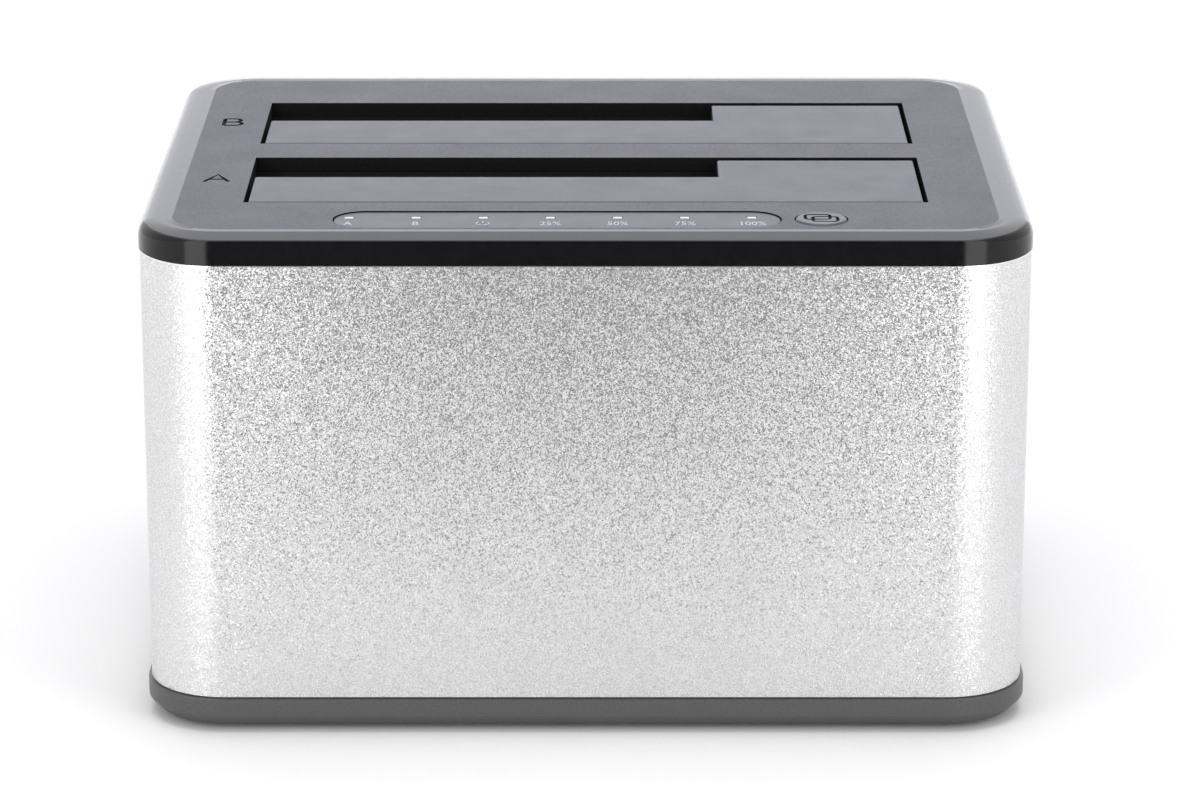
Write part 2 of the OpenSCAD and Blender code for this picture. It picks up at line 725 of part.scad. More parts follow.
module push_switch() color([0.12, 0.12, 0.12]) translate([button_x, button_y, led_board_top]) difference() {
  body_h = tact_h - tact_stroke;
  translate([-tact_w / 2, -tact_w / 2, 0]) cube([tact_w, tact_w, body_h]);
  translate([0, 0, body_h - plunger_depth]) cylinder(r = plunger_r + seat_gap, h = plunger_depth + over);
}

module switch_plunger() color([0.5, 0.15, 0.1]) translate([button_x, button_y, 0]) {
  low = led_board_top + tact_h - tact_stroke - plunger_depth + button_travel + seat_gap;
  translate([0, 0, low]) cylinder(r = plunger_r, h = flange_z - low);
}

// Middle line of the ribbon: a slack curve between the two headers
function ribbon_point(t) = let (
    a = [ribbon_top_y, led_board_z - upper_header_h],
    d = [ribbon_low_y, z_board_top + lower_header_h],
    b = [a[0] - ribbon_bow / 3, (2 * a[1] + d[1]) / 3],
    c = [d[0] - ribbon_bow, (a[1] + 2 * d[1]) / 3])
  pow(1 - t, 3) * a + 3 * pow(1 - t, 2) * t * b + 3 * (1 - t) * t * t * c + pow(t, 3) * d;

module ribbon_cable() color([0.75, 0.75, 0.72]) {
  line = [for (i = [0:ribbon_steps]) ribbon_point(i / ribbon_steps)];
  translate([ribbon_x - ribbon_w / 2, 0, 0]) rotate([90, 0, 90]) linear_extrude(ribbon_w)
    polygon(concat([for (p = line) p - [ribbon_t / 2, 0]],
      [for (i = [ribbon_steps:-1:0]) line[i] + [ribbon_t / 2, 0]]));
}

module upper_header() color([0.9, 0.88, 0.8])
  translate([ribbon_x - header_w / 2, ribbon_top_y - header_d / 2, led_board_z - upper_header_h])
    cube([header_w, header_d, upper_header_h]);

module lower_header() color([0.9, 0.88, 0.8])
  translate([ribbon_x - header_w / 2, ribbon_low_y - header_d / 2, z_board_top])
    cube([header_w, header_d, lower_header_h]);

// Main board and what stands on it

module main_board() color([0.05, 0.3, 0.15]) difference() {
  translate([0, (board_front + board_back) / 2, 0])
    rounded_block(2 * board_half, board_back - board_front, board_t, corner_r - lip_in - board_gap, z_board);
  at_corners(post_x, post_front, post_back) translate([0, 0, z_board - over])
    cylinder(r = boss_r + post_gap, h = board_t + 2 * over);
  at_corners(board_hole_x, board_hole_front, board_hole_back) translate([0, 0, z_board - over])
    cylinder(r = small_screw[0] + 2 * thread_gap, h = board_t + 2 * over);
}

module board_screws() color("silver") at_corners(board_hole_x, board_hole_front, board_hole_back)
  translate([0, 0, z_board_top]) mirror([0, 0, 1]) screw(small_screw, board_screw_l);

// L-keyed blade slot of a drive connector
module blade_slot(x, w, key_side) {
  translate([x, -sata_slot_t / 2, sata_h - sata_slot_h]) cube([w, sata_slot_t, sata_slot_h + over]);
  translate([key_side > 0 ? x + w - sata_key : x, -sata_slot_t / 2 - sata_key, sata_h - sata_slot_h])
    cube([sata_key, sata_key + over / 2, sata_slot_h + over]);
}

// Guide tower with a sloped tip, at one end of a drive connector
module guide_tower(x, slope_side) translate([x, sata_t / 2, 0]) rotate([90, 0, 0]) linear_extrude(sata_t)
  polygon([[0, 0], [tower_w, 0], [tower_w, sata_h + (slope_side > 0 ? tower_tip : tower_h)],
    [tower_w / 2, sata_h + tower_h], [0, sata_h + (slope_side > 0 ? tower_h : tower_tip)]]);

module sata_socket(bay) translate([sata_x, sata_y(bay), z_board_top]) {
  difference() {
    translate([-sata_w / 2, -sata_t / 2, 0]) cube([sata_w, sata_t, sata_h]);
    blade_slot(data_x, data_w, 1);
    blade_slot(power_x, power_w, -1);
  }
  guide_tower(-sata_w / 2, -1);
  guide_tower(sata_w / 2 - tower_w, 1);
}

// Row of contact blades along the back wall of a blade slot
module contact_row(x, w, count) for (i = [0:count - 1])
  translate([x + w / 2 + (i - (count - 1) / 2) * contact_pitch - contact_w / 2,
      sata_slot_t / 2 - contact_t, sata_h - sata_slot_h])
    cube([contact_w, contact_t, sata_slot_h - 1]);

module sata_contacts(bay) translate([sata_x, sata_y(bay), z_board_top]) {
  contact_row(data_x, data_w, data_pins);
  contact_row(power_x, power_w, power_pins);
}

module sata_socket_a() color([0.08, 0.08, 0.08]) sata_socket(0);
module sata_socket_b() color([0.08, 0.08, 0.08]) sata_socket(1);
module sata_contacts_a() color("gold") sata_contacts(0);
module sata_contacts_b() color("gold") sata_contacts(1);

module bridge_chip() color([0.1, 0.1, 0.1]) translate([chip_x, slot_y(0) + slot_d / 2, z_board_top]) {
  translate([-chip_body / 2, -chip_body / 2, chip_leg[2] / 2]) cube([chip_body, chip_body, chip_t]);
  for (k = [0:3], i = [0:chip_pins - 1]) rotate(90 * k)
    translate([(i - (chip_pins - 1) / 2) * chip_pitch - chip_leg[0] / 2, chip_body / 2 - chip_leg[2], 0])
      cube(chip_leg);
}

// A pair of capacitors in front of the cage and a pair behind it
module capacitors() color([0.15, 0.2, 0.3])
  for (i = [0, 1], y = [board_front + cage_front, cage_back + board_back])
    translate([cap_x - i * cap_step, y / 2, z_board_top]) cylinder(r = cap_r, h = cap_h);

module inductors() color([0.3, 0.3, 0.3]) for (i = [0, 1])
  translate([inductor_x + i * inductor_step, board_front + inductor_w, z_board_top])
    rounded_block(inductor_w, inductor_w, inductor_h, inductor_w / 5);

module crystal() color("silver") translate([crystal_x, slot_y(0) + slot_d / 2, z_board_top])
  rounded_block(crystal_size[0], crystal_size[1], crystal_size[2], crystal_size[1] / 2.2);

// Rear ports

module usb_shell() color("silver") translate([usb_x, port_face - usb_size[1], z_board_top]) difference() {
  translate([-usb_size[0] / 2, 0, 0]) cube(usb_size);
  translate([usb_wall - usb_size[0] / 2, usb_wall, usb_wall])
    cube([usb_size[0] - 2 * usb_wall, usb_size[1], usb_size[2] - 2 * usb_wall]);
}

// Mouth of the data port: a square part with cut upper corners, and a narrower part above it
module usb_mouth() {
  w = 8.45;
  h = 7.8;
  cut = 1.4;
  upper_w = 5.6;
  polygon([[-w / 2, 0], [w / 2, 0], [w / 2, h - cut], [w / 2 - cut, h], [cut - w / 2, h], [-w / 2, h - cut]]);
  translate([-upper_w / 2, h - over / 2]) square([upper_w, 3.1 + over / 2]);
}

module usb_insert() color([0.1, 0.2, 0.6]) {
  size = [usb_size[0] - 2 * usb_wall - seat_gap, usb_size[1] - usb_wall - 2 * seat_gap,
    usb_size[2] - 2 * usb_wall - seat_gap];
  mouth_z = 0.45;
  depth = 9;
  translate([usb_x, port_face - seat_gap, z_board_top + usb_wall + seat_gap / 2]) {
    difference() {
      translate([-size[0] / 2, -size[1], 0]) cube(size);
      translate([0, over, mouth_z]) rotate([90, 0, 0]) linear_extrude(depth + over) usb_mouth();
    }
    translate([-2.8, -depth - over, mouth_z + 2.3]) cube([5.6, depth, 3.2]);
    translate([-1.9, -depth - over, mouth_z + 8.9]) cube([3.8, depth, 0.9]);
  }
}

module power_inlet() color([0.08, 0.08, 0.08]) translate([jack_x, port_face, z_board_top]) difference() {
  translate([-jack_size[0] / 2, -jack_size[1], 0]) cube(jack_size);
  translate([0, over, jack_up]) rotate([90, 0, 0]) cylinder(r = jack_bore_r, h = jack_bore_l + over);
  translate([0, 0, jack_up]) rotate([90, 0, 0]) cylinder(r = jack_pin_r + thread_gap, h = jack_bore_l + 2);
}

module power_inlet_pin() color("gold") translate([jack_x, port_face - 1, z_board_top + jack_up])
  rotate([90, 0, 0]) cylinder(r = jack_pin_r, h = jack_bore_l + 1);

module power_switch_housing() color([0.08, 0.08, 0.08]) {
  room_w = 2 * rocker_half + 1.2;
  room_h = rocker_h + 0.4;
  room_d = 5;
  difference() {
    translate([rocker_x - rocker_size[0] / 2, rocker_face - rocker_size[1], z_board_top]) cube(rocker_size);
    translate([rocker_x - room_w / 2, rocker_face - room_d, rocker_z - room_h / 2])
      cube([room_w, room_d + over, room_h]);
    translate([rocker_x, rocker_pivot_y, rocker_z - rocker_h / 2 - trunnion_l - seat_gap])
      cylinder(r = trunnion_r + pin_run, h = rocker_h + 2 * (trunnion_l + seat_gap));
  }
}

// Rocker, tilted to its off side; it turns about the upright line through its trunnions
module power_rocker() color([0.1, 0.1, 0.1]) translate([rocker_x, rocker_pivot_y, rocker_z]) {
  end_y = rocker_front + rocker_half * tan(rocker_tilt);
  rotate(-rocker_tilt) translate([0, 0, -rocker_h / 2]) linear_extrude(rocker_h)
    polygon([[0, rocker_front], [rocker_half, end_y], [rocker_half, 0.2], [3.6, -1.6], [-3.6, -1.6],
      [-rocker_half, 0.2], [-rocker_half, end_y]]);
  translate([0, 0, -rocker_h / 2 - trunnion_l]) cylinder(r = trunnion_r, h = rocker_h + 2 * trunnion_l);
}

sleeve();
top_cover();
base_tray();
rubber_feet();
drive_cage();
cage_screws();
case_screws();
flap_a();
flap_b();
hinge_pin_a();
hinge_pin_b();
flap_springs_a();
flap_springs_b();
indicator_strip();
light_guide();
led_board();
status_leds();
led_resistors();
led_board_screws();
clone_button();
push_switch();
switch_plunger();
ribbon_cable();
upper_header();
lower_header();
main_board();
board_screws();
sata_socket_a();
sata_socket_b();
sata_contacts_a();
sata_contacts_b();
bridge_chip();
capacitors();
inductors();
crystal();
usb_shell();
usb_insert();
power_inlet();
power_inlet_pin();
power_switch_housing();
power_rocker();
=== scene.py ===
"""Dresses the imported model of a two-bay hard drive dock and lights it for its picture."""
import json
import logging
import math
from collections.abc import Callable, Sequence
from dataclasses import dataclass
from enum import Enum
from typing import ClassVar

import bmesh
import bpy
from mathutils import Matrix, Vector


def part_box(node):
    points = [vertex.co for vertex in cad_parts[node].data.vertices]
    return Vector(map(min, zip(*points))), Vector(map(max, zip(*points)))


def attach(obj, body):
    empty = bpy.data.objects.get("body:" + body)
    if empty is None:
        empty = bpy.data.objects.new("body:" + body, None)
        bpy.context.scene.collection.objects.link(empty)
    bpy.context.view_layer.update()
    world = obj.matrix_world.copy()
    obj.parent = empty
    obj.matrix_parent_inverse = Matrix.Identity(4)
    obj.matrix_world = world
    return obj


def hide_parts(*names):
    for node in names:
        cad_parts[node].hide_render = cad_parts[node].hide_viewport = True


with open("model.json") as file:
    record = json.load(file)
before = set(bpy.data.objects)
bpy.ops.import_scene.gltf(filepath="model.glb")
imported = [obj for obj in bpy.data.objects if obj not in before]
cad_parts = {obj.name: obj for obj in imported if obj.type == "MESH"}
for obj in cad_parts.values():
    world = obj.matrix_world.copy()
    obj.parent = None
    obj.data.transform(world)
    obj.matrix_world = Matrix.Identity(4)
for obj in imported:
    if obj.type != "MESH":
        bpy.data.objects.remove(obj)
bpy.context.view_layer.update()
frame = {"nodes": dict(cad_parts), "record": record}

BOXES = {node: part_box(node) for node in frame["nodes"]}
MM = 0.001
MERGE = 1e-7
HAIR = 0.02 * MM
FLAT_TURN = math.radians(0.4)
Colour = tuple[float, float, float]
Pair = tuple[float, float]
Rule = Callable[[Vector, Vector], bool]
Move = Callable[[Vector], Vector]
log = logging.getLogger("dock")


class Facing(Enum):
    """Directions that a face of the dock may look in."""

    UP = Vector((0, 0, 1))
    DOWN = Vector((0, 0, -1))
    BACK = Vector((0, 1, 0))

    def holds(self, normal: Vector, slack: float = 0.01) -> bool:
        """Tell whether a normal points this way."""
        return normal.dot(self.value) > 1 - slack


class Part(Enum):
    """What an edit picks from a mesh."""

    FACE = "FACE"
    EDGE = "EDGE"


def toned(colour: Colour, share: float) -> Colour:
    """Return a colour at a share of its brightness, no lighter than white."""
    return tuple(min(1.0, c * share) for c in colour)


class Wire:
    """A shader socket that can stand in a Python sum."""

    def __init__(self, recipe: "Recipe", socket: bpy.types.NodeSocket) -> None:
        """Keep the recipe that owns the socket, and the socket."""
        self.recipe = recipe
        self.socket = socket

    def _sum(self, operation: str, first: "Wire | float", second: "Wire | float") -> "Wire":
        """Return a Math node's result for two values."""
        return self.recipe.node("ShaderNodeMath", {"operation": operation}, {0: first, 1: second})

    def __add__(self, other: "Wire | float") -> "Wire":
        """Add a value."""
        return self._sum("ADD", self, other)

    def __radd__(self, other: float) -> "Wire":
        """Add to a plain number."""
        return self._sum("ADD", other, self)

    def __sub__(self, other: "Wire | float") -> "Wire":
        """Take a value away."""
        return self._sum("SUBTRACT", self, other)

    def __rsub__(self, other: float) -> "Wire":
        """Take this from a plain number."""
        return self._sum("SUBTRACT", other, self)

    def __mul__(self, other: "Wire | float") -> "Wire":
        """Multiply by a value."""
        return self._sum("MULTIPLY", self, other)

    def __rmul__(self, other: float) -> "Wire":
        """Multiply a plain number."""
        return self._sum("MULTIPLY", other, self)

    def __lt__(self, other: "Wire | float") -> "Wire":
        """Give 1 where this is the smaller, and 0 elsewhere."""
        return self._sum("LESS_THAN", self, other)

    def greater(self, other: "Wire") -> "Wire":
        """Give the greater of two values."""
        return self._sum("MAXIMUM", self, other)


class Recipe:
    """The node tree of one material or of the world."""

    def __init__(self, owner: "bpy.types.Material | bpy.types.World") -> None:
        """Open the owner's node tree.

        Args:
            owner: The material or world to give nodes to.
        """
        owner.use_nodes = True
        self.tree = owner.node_tree
        self.shader = self.tree.nodes.get("Principled BSDF") or self.tree.nodes["Background"]

    def node(
        self,
        kind: str,
        settings: dict[str, object],
        values: dict[int | str, object],
        output: int | str = 0,
    ) -> Wire:
        """Make one node.

        Args:
            kind: The node's Blender type.
            settings: The node's own settings, which are set first.
            values: A value or a wire for each socket that needs one.
            output: The output to hand back.

        Returns:
            The chosen output.
        """
        made = self.tree.nodes.new(kind)
        for name, value in settings.items():
            setattr(made, name, value)
        for key, value in values.items():
            self.feed(made.inputs[key], value)
        return Wire(self, made.outputs[output])

    def vector(self, operation: str, values: dict[int | str, object], output: int | str = 0) -> Wire:
        """Return a Vector Math node's result."""
        return self.node("ShaderNodeVectorMath", {"operation": operation}, values, output)

    def feed(self, socket: bpy.types.NodeSocket, value: object) -> None:
        """Link a wire to a socket, or set the socket's own value.

        Args:
            socket: The socket.
            value: The wire or value.
        """
        if isinstance(value, Wire):
            self.tree.links.new(value.socket, socket)
        else:
            socket.default_value = value

    def place(self, stretch: Colour = (1, 1, 1), turn: Colour = (0, 0, 0)) -> Wire:
        """Return the piece's own coordinates through a Mapping node.

        Args:
            stretch: Scale on each axis.
            turn: Turn about each axis, in degrees.

        Returns:
            The mapped coordinates.
        """
        own = self.node("ShaderNodeTexCoord", {}, {}, "Object")
        turned = tuple(math.radians(a) for a in turn)
        return self.node("ShaderNodeMapping", {}, {"Vector": own, "Rotation": turned, "Scale": stretch})

    def grain(self, size: float, detail: float = 2.0, at: "Wire | None" = None) -> Wire:
        """Return soft noise from 0 to 1.

        Args:
            size: Size of one grain, in millimetres.
            detail: How many finer layers it has.
            at: Coordinates; the piece's own where left out.

        Returns:
            The noise.
        """
        values = {"Vector": at or self.place(), "Scale": 1 / (size * MM), "Detail": detail}
        return self.node("ShaderNodeTexNoise", {}, values)

    def cells(self, size: float, output: str) -> Wire:
        """Return one output of a pattern of cells, of a size in millimetres."""
        values = {"Vector": self.place(), "Scale": 1 / (size * MM)}
        return self.node("ShaderNodeTexVoronoi", {}, values, output)

    def spread(self, value: Wire, low: float, high: float) -> Wire:
        """Stretch the part of a value between low and high to run from 0 to 1."""
        return self.node("ShaderNodeMapRange", {}, {"Value": value, "From Min": low, "From Max": high})

    def blend(self, share: "Wire | float", first: "Wire | Colour", second: "Wire | Colour") -> Wire:
        """Mix two colours; the share says how much of the second one shows."""
        sides = [side if isinstance(side, Wire) else (*side, 1) for side in (first, second)]
        return self.node("ShaderNodeMix", {"data_type": "RGBA"}, {0: share, 6: sides[0], 7: sides[1]}, 2)

    def bump(self, height: Wire, depth: float) -> Wire:
        """Turn a height from 0 to 1, with a full depth in millimetres, into a normal."""
        return self.node("ShaderNodeBump", {}, {"Strength": 1.0, "Distance": depth * MM, "Height": height})

    def facets(self, size: float, tilt: float) -> Wire:
        """Return the surface's normal, tipped a little at random from grain to grain.

        Args:
            size: Size of one grain, in millimetres.
            tilt: How far the grains tip, as a share of the normal.

        Returns:
            The tipped normal.
        """
        level = self.vector("SUBTRACT", {0: self.cells(size, "Color"), 1: (0.5, 0.5, 0.5)})
        tip = self.vector("SCALE", {0: level, "Scale": tilt})
        own = self.node("ShaderNodeNewGeometry", {}, {}, "Normal")
        return self.vector("NORMALIZE", {0: self.vector("ADD", {0: own, 1: tip})})

    def surface(self, values: dict[str, object]) -> None:
        """Set or link sockets of the main shader.

        Args:
            values: A value, a colour or a wire for each socket.
        """
        for name, value in values.items():
            if isinstance(value, tuple) and len(value) == 3:
                value = (*value, 1)
            self.feed(self.shader.inputs[name], value)


@dataclass(frozen=True)
class Finish:
    """What a surface is made of and how it looks. Grains and depths are in millimetres."""

    label: str

    def material(self) -> bpy.types.Material:
        """Return the finish's material, made the first time.

        Returns:
            The material.
        """
        made = bpy.data.materials.get(self.label)
        if made is None:
            made = bpy.data.materials.new(self.label)
            self.lay(Recipe(made))
        return made

    def lay(self, recipe: Recipe) -> None:
        """Fill the material's nodes."""
        raise NotImplementedError


@dataclass(frozen=True)
class BlastedMetal(Finish):
    """Aluminium blasted with fine sand and anodised clear."""

    tone: Colour = (0.78, 0.778, 0.782)
    grit: float = 0.18
    contrast: float = 0.26
    roughness: float = 0.25
    tilt: float = 0.33
    glint: float = 0.4
    pit_span: Pair = (0.34, 0.66)
    cloud: float = 14.0
    cloud_span: Pair = (0.35, 0.65)
    cloud_share: float = 0.12

    def lay(self, recipe: Recipe) -> None:
        """Fill the nodes with sharp pits, small glints and a faint cloud in the anodising.

        Args:
            recipe: The material's nodes.
        """
        pits = recipe.spread(recipe.grain(self.grit, 1.0), *self.pit_span)
        cloud = recipe.grain(self.cloud, 3.0)
        cloudy = self.cloud_share * recipe.spread(cloud, *self.cloud_span)
        dark = toned(self.tone, 1 - self.contrast)
        flecked = recipe.blend(pits, dark, toned(self.tone, 1 + self.glint * self.contrast))
        recipe.surface({
            "Base Color": recipe.blend(cloudy, flecked, dark),
            "Metallic": 1.0,
            "Roughness": self.roughness + 0.05 * (1 - pits) + 0.03 * cloud,
            "Normal": recipe.facets(self.grit, self.tilt),
        })


@dataclass(frozen=True)
class Moulded(Finish):
    """Injection-moulded plastic, rubber or resin with a fine texture."""

    colour: Colour = (0.04, 0.04, 0.045)
    roughness: float = 0.45
    grain: float = 0.25
    depth: float = 0.01
    fleck: float = 0.2
    shine: float = 0.5
    coat: float = 0.0
    tilt: float = 0.0
    haze: float = 0.01
    span: Pair = (0.3, 0.7)
    mottle: float = 36.0
    mottle_share: float = 0.25
    polish: float = 0.04
    uneven: float = 0.05

    def lay(self, recipe: Recipe) -> None:
        """Fill the nodes with mould grain, faint mottling and slightly uneven gloss.

        Args:
            recipe: The material's nodes.
        """
        grain = recipe.spread(recipe.grain(self.grain, 1.5), *self.span)
        mottle = recipe.spread(recipe.grain(self.grain * self.mottle, 3.0), *self.span)
        dark = toned(self.colour, 1 - self.fleck)
        light = tuple(min(1.0, c * (1 + self.fleck) + self.haze * self.fleck) for c in self.colour)
        flecked = recipe.blend(grain, dark, light)
        recipe.surface({
            "Base Color": recipe.blend(self.mottle_share * mottle, flecked, self.colour),
            "Roughness": self.roughness - self.polish + self.uneven * grain + self.uneven * mottle,
            "Specular IOR Level": self.shine,
            "Coat Weight": self.coat,
            "Coat Roughness": 0.08,
            "Normal": recipe.facets(self.grain, self.tilt) if self.tilt else recipe.bump(grain, self.depth),
        })


@dataclass(frozen=True)
class DrawnMetal(Finish):
    """Steel, tin or gold plate with fine marks along one axis."""

    tone: Colour = (0.6, 0.6, 0.61)
    roughness: float = 0.28
    along: Colour = (1, 1, 1)
    depth: float = 0.004
    line: float = 0.12
    line_tone: float = 0.82
    stain: float = 2.4
    stain_span: Pair = (0.4, 0.75)
    stain_share: float = 0.3

    def lay(self, recipe: Recipe) -> None:
        """Fill the nodes with drawing lines and faint stains.

        Args:
            recipe: The material's nodes.
        """
        lines = recipe.grain(self.line, 2.0, recipe.place(stretch=self.along))
        stain = recipe.spread(recipe.grain(self.stain, 3.0), *self.stain_span)
        dark = toned(self.tone, self.line_tone)
        lined = recipe.blend(lines, dark, self.tone)
        recipe.surface({
            "Base Color": recipe.blend(self.stain_share * stain, lined, dark),
            "Metallic": 1.0,
            "Roughness": self.roughness + 0.14 * lines + 0.06 * stain,
            "Normal": recipe.bump(lines, self.depth),
        })


@dataclass(frozen=True)
class SolderMask(Finish):
    """Green circuit board with copper tracks under its mask, and plated holes."""

    mask: Colour = (0.012, 0.11, 0.045)
    track: Colour = (0.03, 0.2, 0.085)
    plate: Colour = (0.72, 0.6, 0.32)
    drilled: Colour = (0.02, 0.02, 0.02)
    hole_pitch: float = 3.2
    drill: float = 0.075
    ring: float = 0.13
    weave: float = 0.4
    depth: float = 0.02

    def lay(self, recipe: Recipe) -> None:
        """Fill the nodes with tracks, plated holes and the weave of the laminate.

        Args:
            recipe: The material's nodes.
        """
        layout = {
            "Vector": recipe.place(turn=(0, 0, 45)),
            "Scale": 160.0,
            "Mortar Size": 0.012,
            "Mortar Smooth": 0.1,
            "Brick Width": 1.7,
            "Row Height": 0.26,
        }
        steps = {"offset": 0.37, "squash": 1.6, "squash_frequency": 3}
        bricks = recipe.node("ShaderNodeTexBrick", steps, layout, "Fac")
        holes = recipe.cells(self.hole_pitch, "Distance")
        drills = holes < self.drill
        weave = recipe.grain(self.weave, 1.0, recipe.place(stretch=(1, 0.25, 1)))
        tracks = recipe.blend(bricks, self.mask, self.track)
        plated = recipe.blend((holes < self.ring) - drills, tracks, self.plate)
        recipe.surface({
            "Base Color": recipe.blend(drills, plated, self.drilled),
            "Roughness": 0.28 + 0.1 * weave,
            "Normal": recipe.bump(bricks + 0.4 * weave, self.depth),
        })


@dataclass(frozen=True)
class ClearMoulding(Finish):
    """Clear plastic with faint flow lines."""

    roughness: float = 0.08
    dim: Colour = (0.86, 0.88, 0.9)
    bright: Colour = (0.95, 0.96, 0.97)
    flow: float = 1.2
    depth: float = 0.01

    def lay(self, recipe: Recipe) -> None:
        """Fill the nodes with flow lines in the gloss of clear plastic.

        Args:
            recipe: The material's nodes.
        """
        flow = recipe.grain(self.flow, 2.0, recipe.place(stretch=(0.2, 1, 1)))
        recipe.surface({
            "Base Color": recipe.blend(flow, self.dim, self.bright),
            "Roughness": self.roughness + 0.08 * flow,
            "Transmission Weight": 0.85,
            "IOR": 1.49,
            "Normal": recipe.bump(flow, self.depth),
        })


@dataclass(frozen=True)
class LitEnd(Finish):
    """Frosted end of a light guide with its light on, a little uneven."""

    glow: float = 0.12
    dim: Colour = (0.56, 0.6, 0.66)
    bright: Colour = (0.72, 0.75, 0.8)
    grain: float = 0.2
    detail: float = 1.0
    depth: float = 0.005

    def lay(self, recipe: Recipe) -> None:
        """Fill the nodes with an uneven colour that also glows.

        Args:
            recipe: The material's nodes.
        """
        frost = recipe.grain(self.grain, self.detail)
        lit = recipe.blend(frost, self.dim, self.bright)
        recipe.surface({
            "Base Color": lit,
            "Roughness": 0.4 + 0.2 * frost,
            "Emission Color": lit,
            "Emission Strength": self.glow,
            "Normal": recipe.bump(frost, self.depth),
        })


@dataclass(frozen=True)
class Ink(Finish):
    """Screen-printed marking with the slightly thin spots of ink."""

    colour: Colour = (0.6, 0.6, 0.63)
    thin_tone: float = 0.8
    grain: float = 0.3
    depth: float = 0.003

    def lay(self, recipe: Recipe) -> None:
        """Fill the nodes with ink that is thin in spots.

        Args:
            recipe: The material's nodes.
        """
        thin = recipe.grain(self.grain, 2.0)
        recipe.surface({
            "Base Color": recipe.blend(thin, toned(self.colour, self.thin_tone), self.colour),
            "Roughness": 0.4 + 0.2 * thin,
            "Normal": recipe.bump(thin, self.depth),
        })


class Finishes(Enum):
    """Every finish on the dock."""

    BLASTED = BlastedMetal("blasted aluminium")
    CUT_EDGE = BlastedMetal("cut aluminium edge", (0.88, 0.885, 0.89), grit=0.1, contrast=0.12,
                            roughness=0.2, tilt=0.04)
    COVER_MATTE = Moulded("matte cover top", (0.061, 0.062, 0.079), roughness=0.48, grain=0.22,
                          fleck=0.35, shine=0.35, tilt=0.12)
    COVER_GLOSS = Moulded("gloss cover rim", (0.003, 0.003, 0.004), roughness=0.14, grain=1.4,
                          depth=0.001, fleck=0.1, shine=0.32)
    COVER_INSIDE = Moulded("cover underside", (0.005, 0.005, 0.006), roughness=0.55, grain=0.4, shine=0.2)
    LETTER_GROOVE = Moulded("letter groove", (0.004, 0.004, 0.005), roughness=0.7, grain=0.2, shine=0.1)
    BASE = Moulded("base plastic", (0.08, 0.08, 0.081), roughness=0.4, grain=0.3)
    FLAP = Moulded("satin flap", (0.058, 0.059, 0.078), roughness=0.38, grain=0.16, depth=0.006,
                   fleck=0.12, shine=0.32)
    RUBBER = Moulded("foot rubber", (0.02, 0.02, 0.02), roughness=0.8, grain=0.5, depth=0.03)
    CAGE = Moulded("cage plastic", (0.014, 0.014, 0.015), roughness=0.5, grain=0.35, depth=0.015,
                   shine=0.25)
    STRIP = Moulded("satin strip", (0.05, 0.051, 0.066), roughness=0.34, grain=0.12, depth=0.004,
                    fleck=0.08, shine=0.3)
    BUTTON = Moulded("satin button", (0.08, 0.081, 0.095), roughness=0.34, grain=0.12, depth=0.004,
                     fleck=0.08, shine=0.35)
    SCREW = DrawnMetal("zinc plate", (0.62, 0.62, 0.64), roughness=0.24)
    PIN = DrawnMetal("ground steel", (0.62, 0.62, 0.64), roughness=0.16, along=(0.04, 1, 1))
    SPRING = DrawnMetal("spring wire", (0.5, 0.5, 0.53), roughness=0.26)
    TIN = DrawnMetal("tin plate", (0.68, 0.68, 0.69), roughness=0.26, along=(1, 0.06, 1))
    GOLD = DrawnMetal("gold flash", (0.86, 0.66, 0.3), roughness=0.22, along=(1, 1, 0.1))
    CAN_TOP = DrawnMetal("can top", (0.72, 0.73, 0.75), roughness=0.3)
    CLEAR = ClearMoulding("clear guide")
    LIT = LitEnd("lit window")
    LENS = LitEnd("light lens", glow=0.15)
    BOARD = SolderMask("green board")
    CHIP = Moulded("chip resin", (0.018, 0.018, 0.019), roughness=0.55, grain=0.15, depth=0.012)
    SWITCH = Moulded("switch body", (0.014, 0.014, 0.015), roughness=0.42, grain=0.2)
    PLUNGER = Moulded("red plunger", (0.25, 0.03, 0.02), roughness=0.4, grain=0.2)
    RIBBON = Moulded("ribbon sheath", (0.42, 0.42, 0.41), roughness=0.42, grain=0.3)
    NYLON = Moulded("header nylon", (0.74, 0.7, 0.6), grain=0.2)
    CONNECTOR = Moulded("connector plastic", (0.012, 0.012, 0.013), roughness=0.42, grain=0.2)
    FERRITE = Moulded("pressed ferrite", (0.07, 0.07, 0.072), roughness=0.7, grain=0.12, depth=0.03)
    CAN_SLEEVE = Moulded("can sleeve", (0.02, 0.03, 0.09), roughness=0.25, grain=0.6, coat=0.4)
    CAN_STRIPE = Moulded("can stripe", (0.55, 0.57, 0.6), roughness=0.3, grain=0.6)
    PORT_BLUE = Moulded("blue port plastic", (0.02, 0.1, 0.5), roughness=0.36, grain=0.2)
    ROCKER = Moulded("rocker plastic", (0.02, 0.02, 0.021), roughness=0.3, grain=0.15, depth=0.004)
    WHITE_INK = Ink("white print")


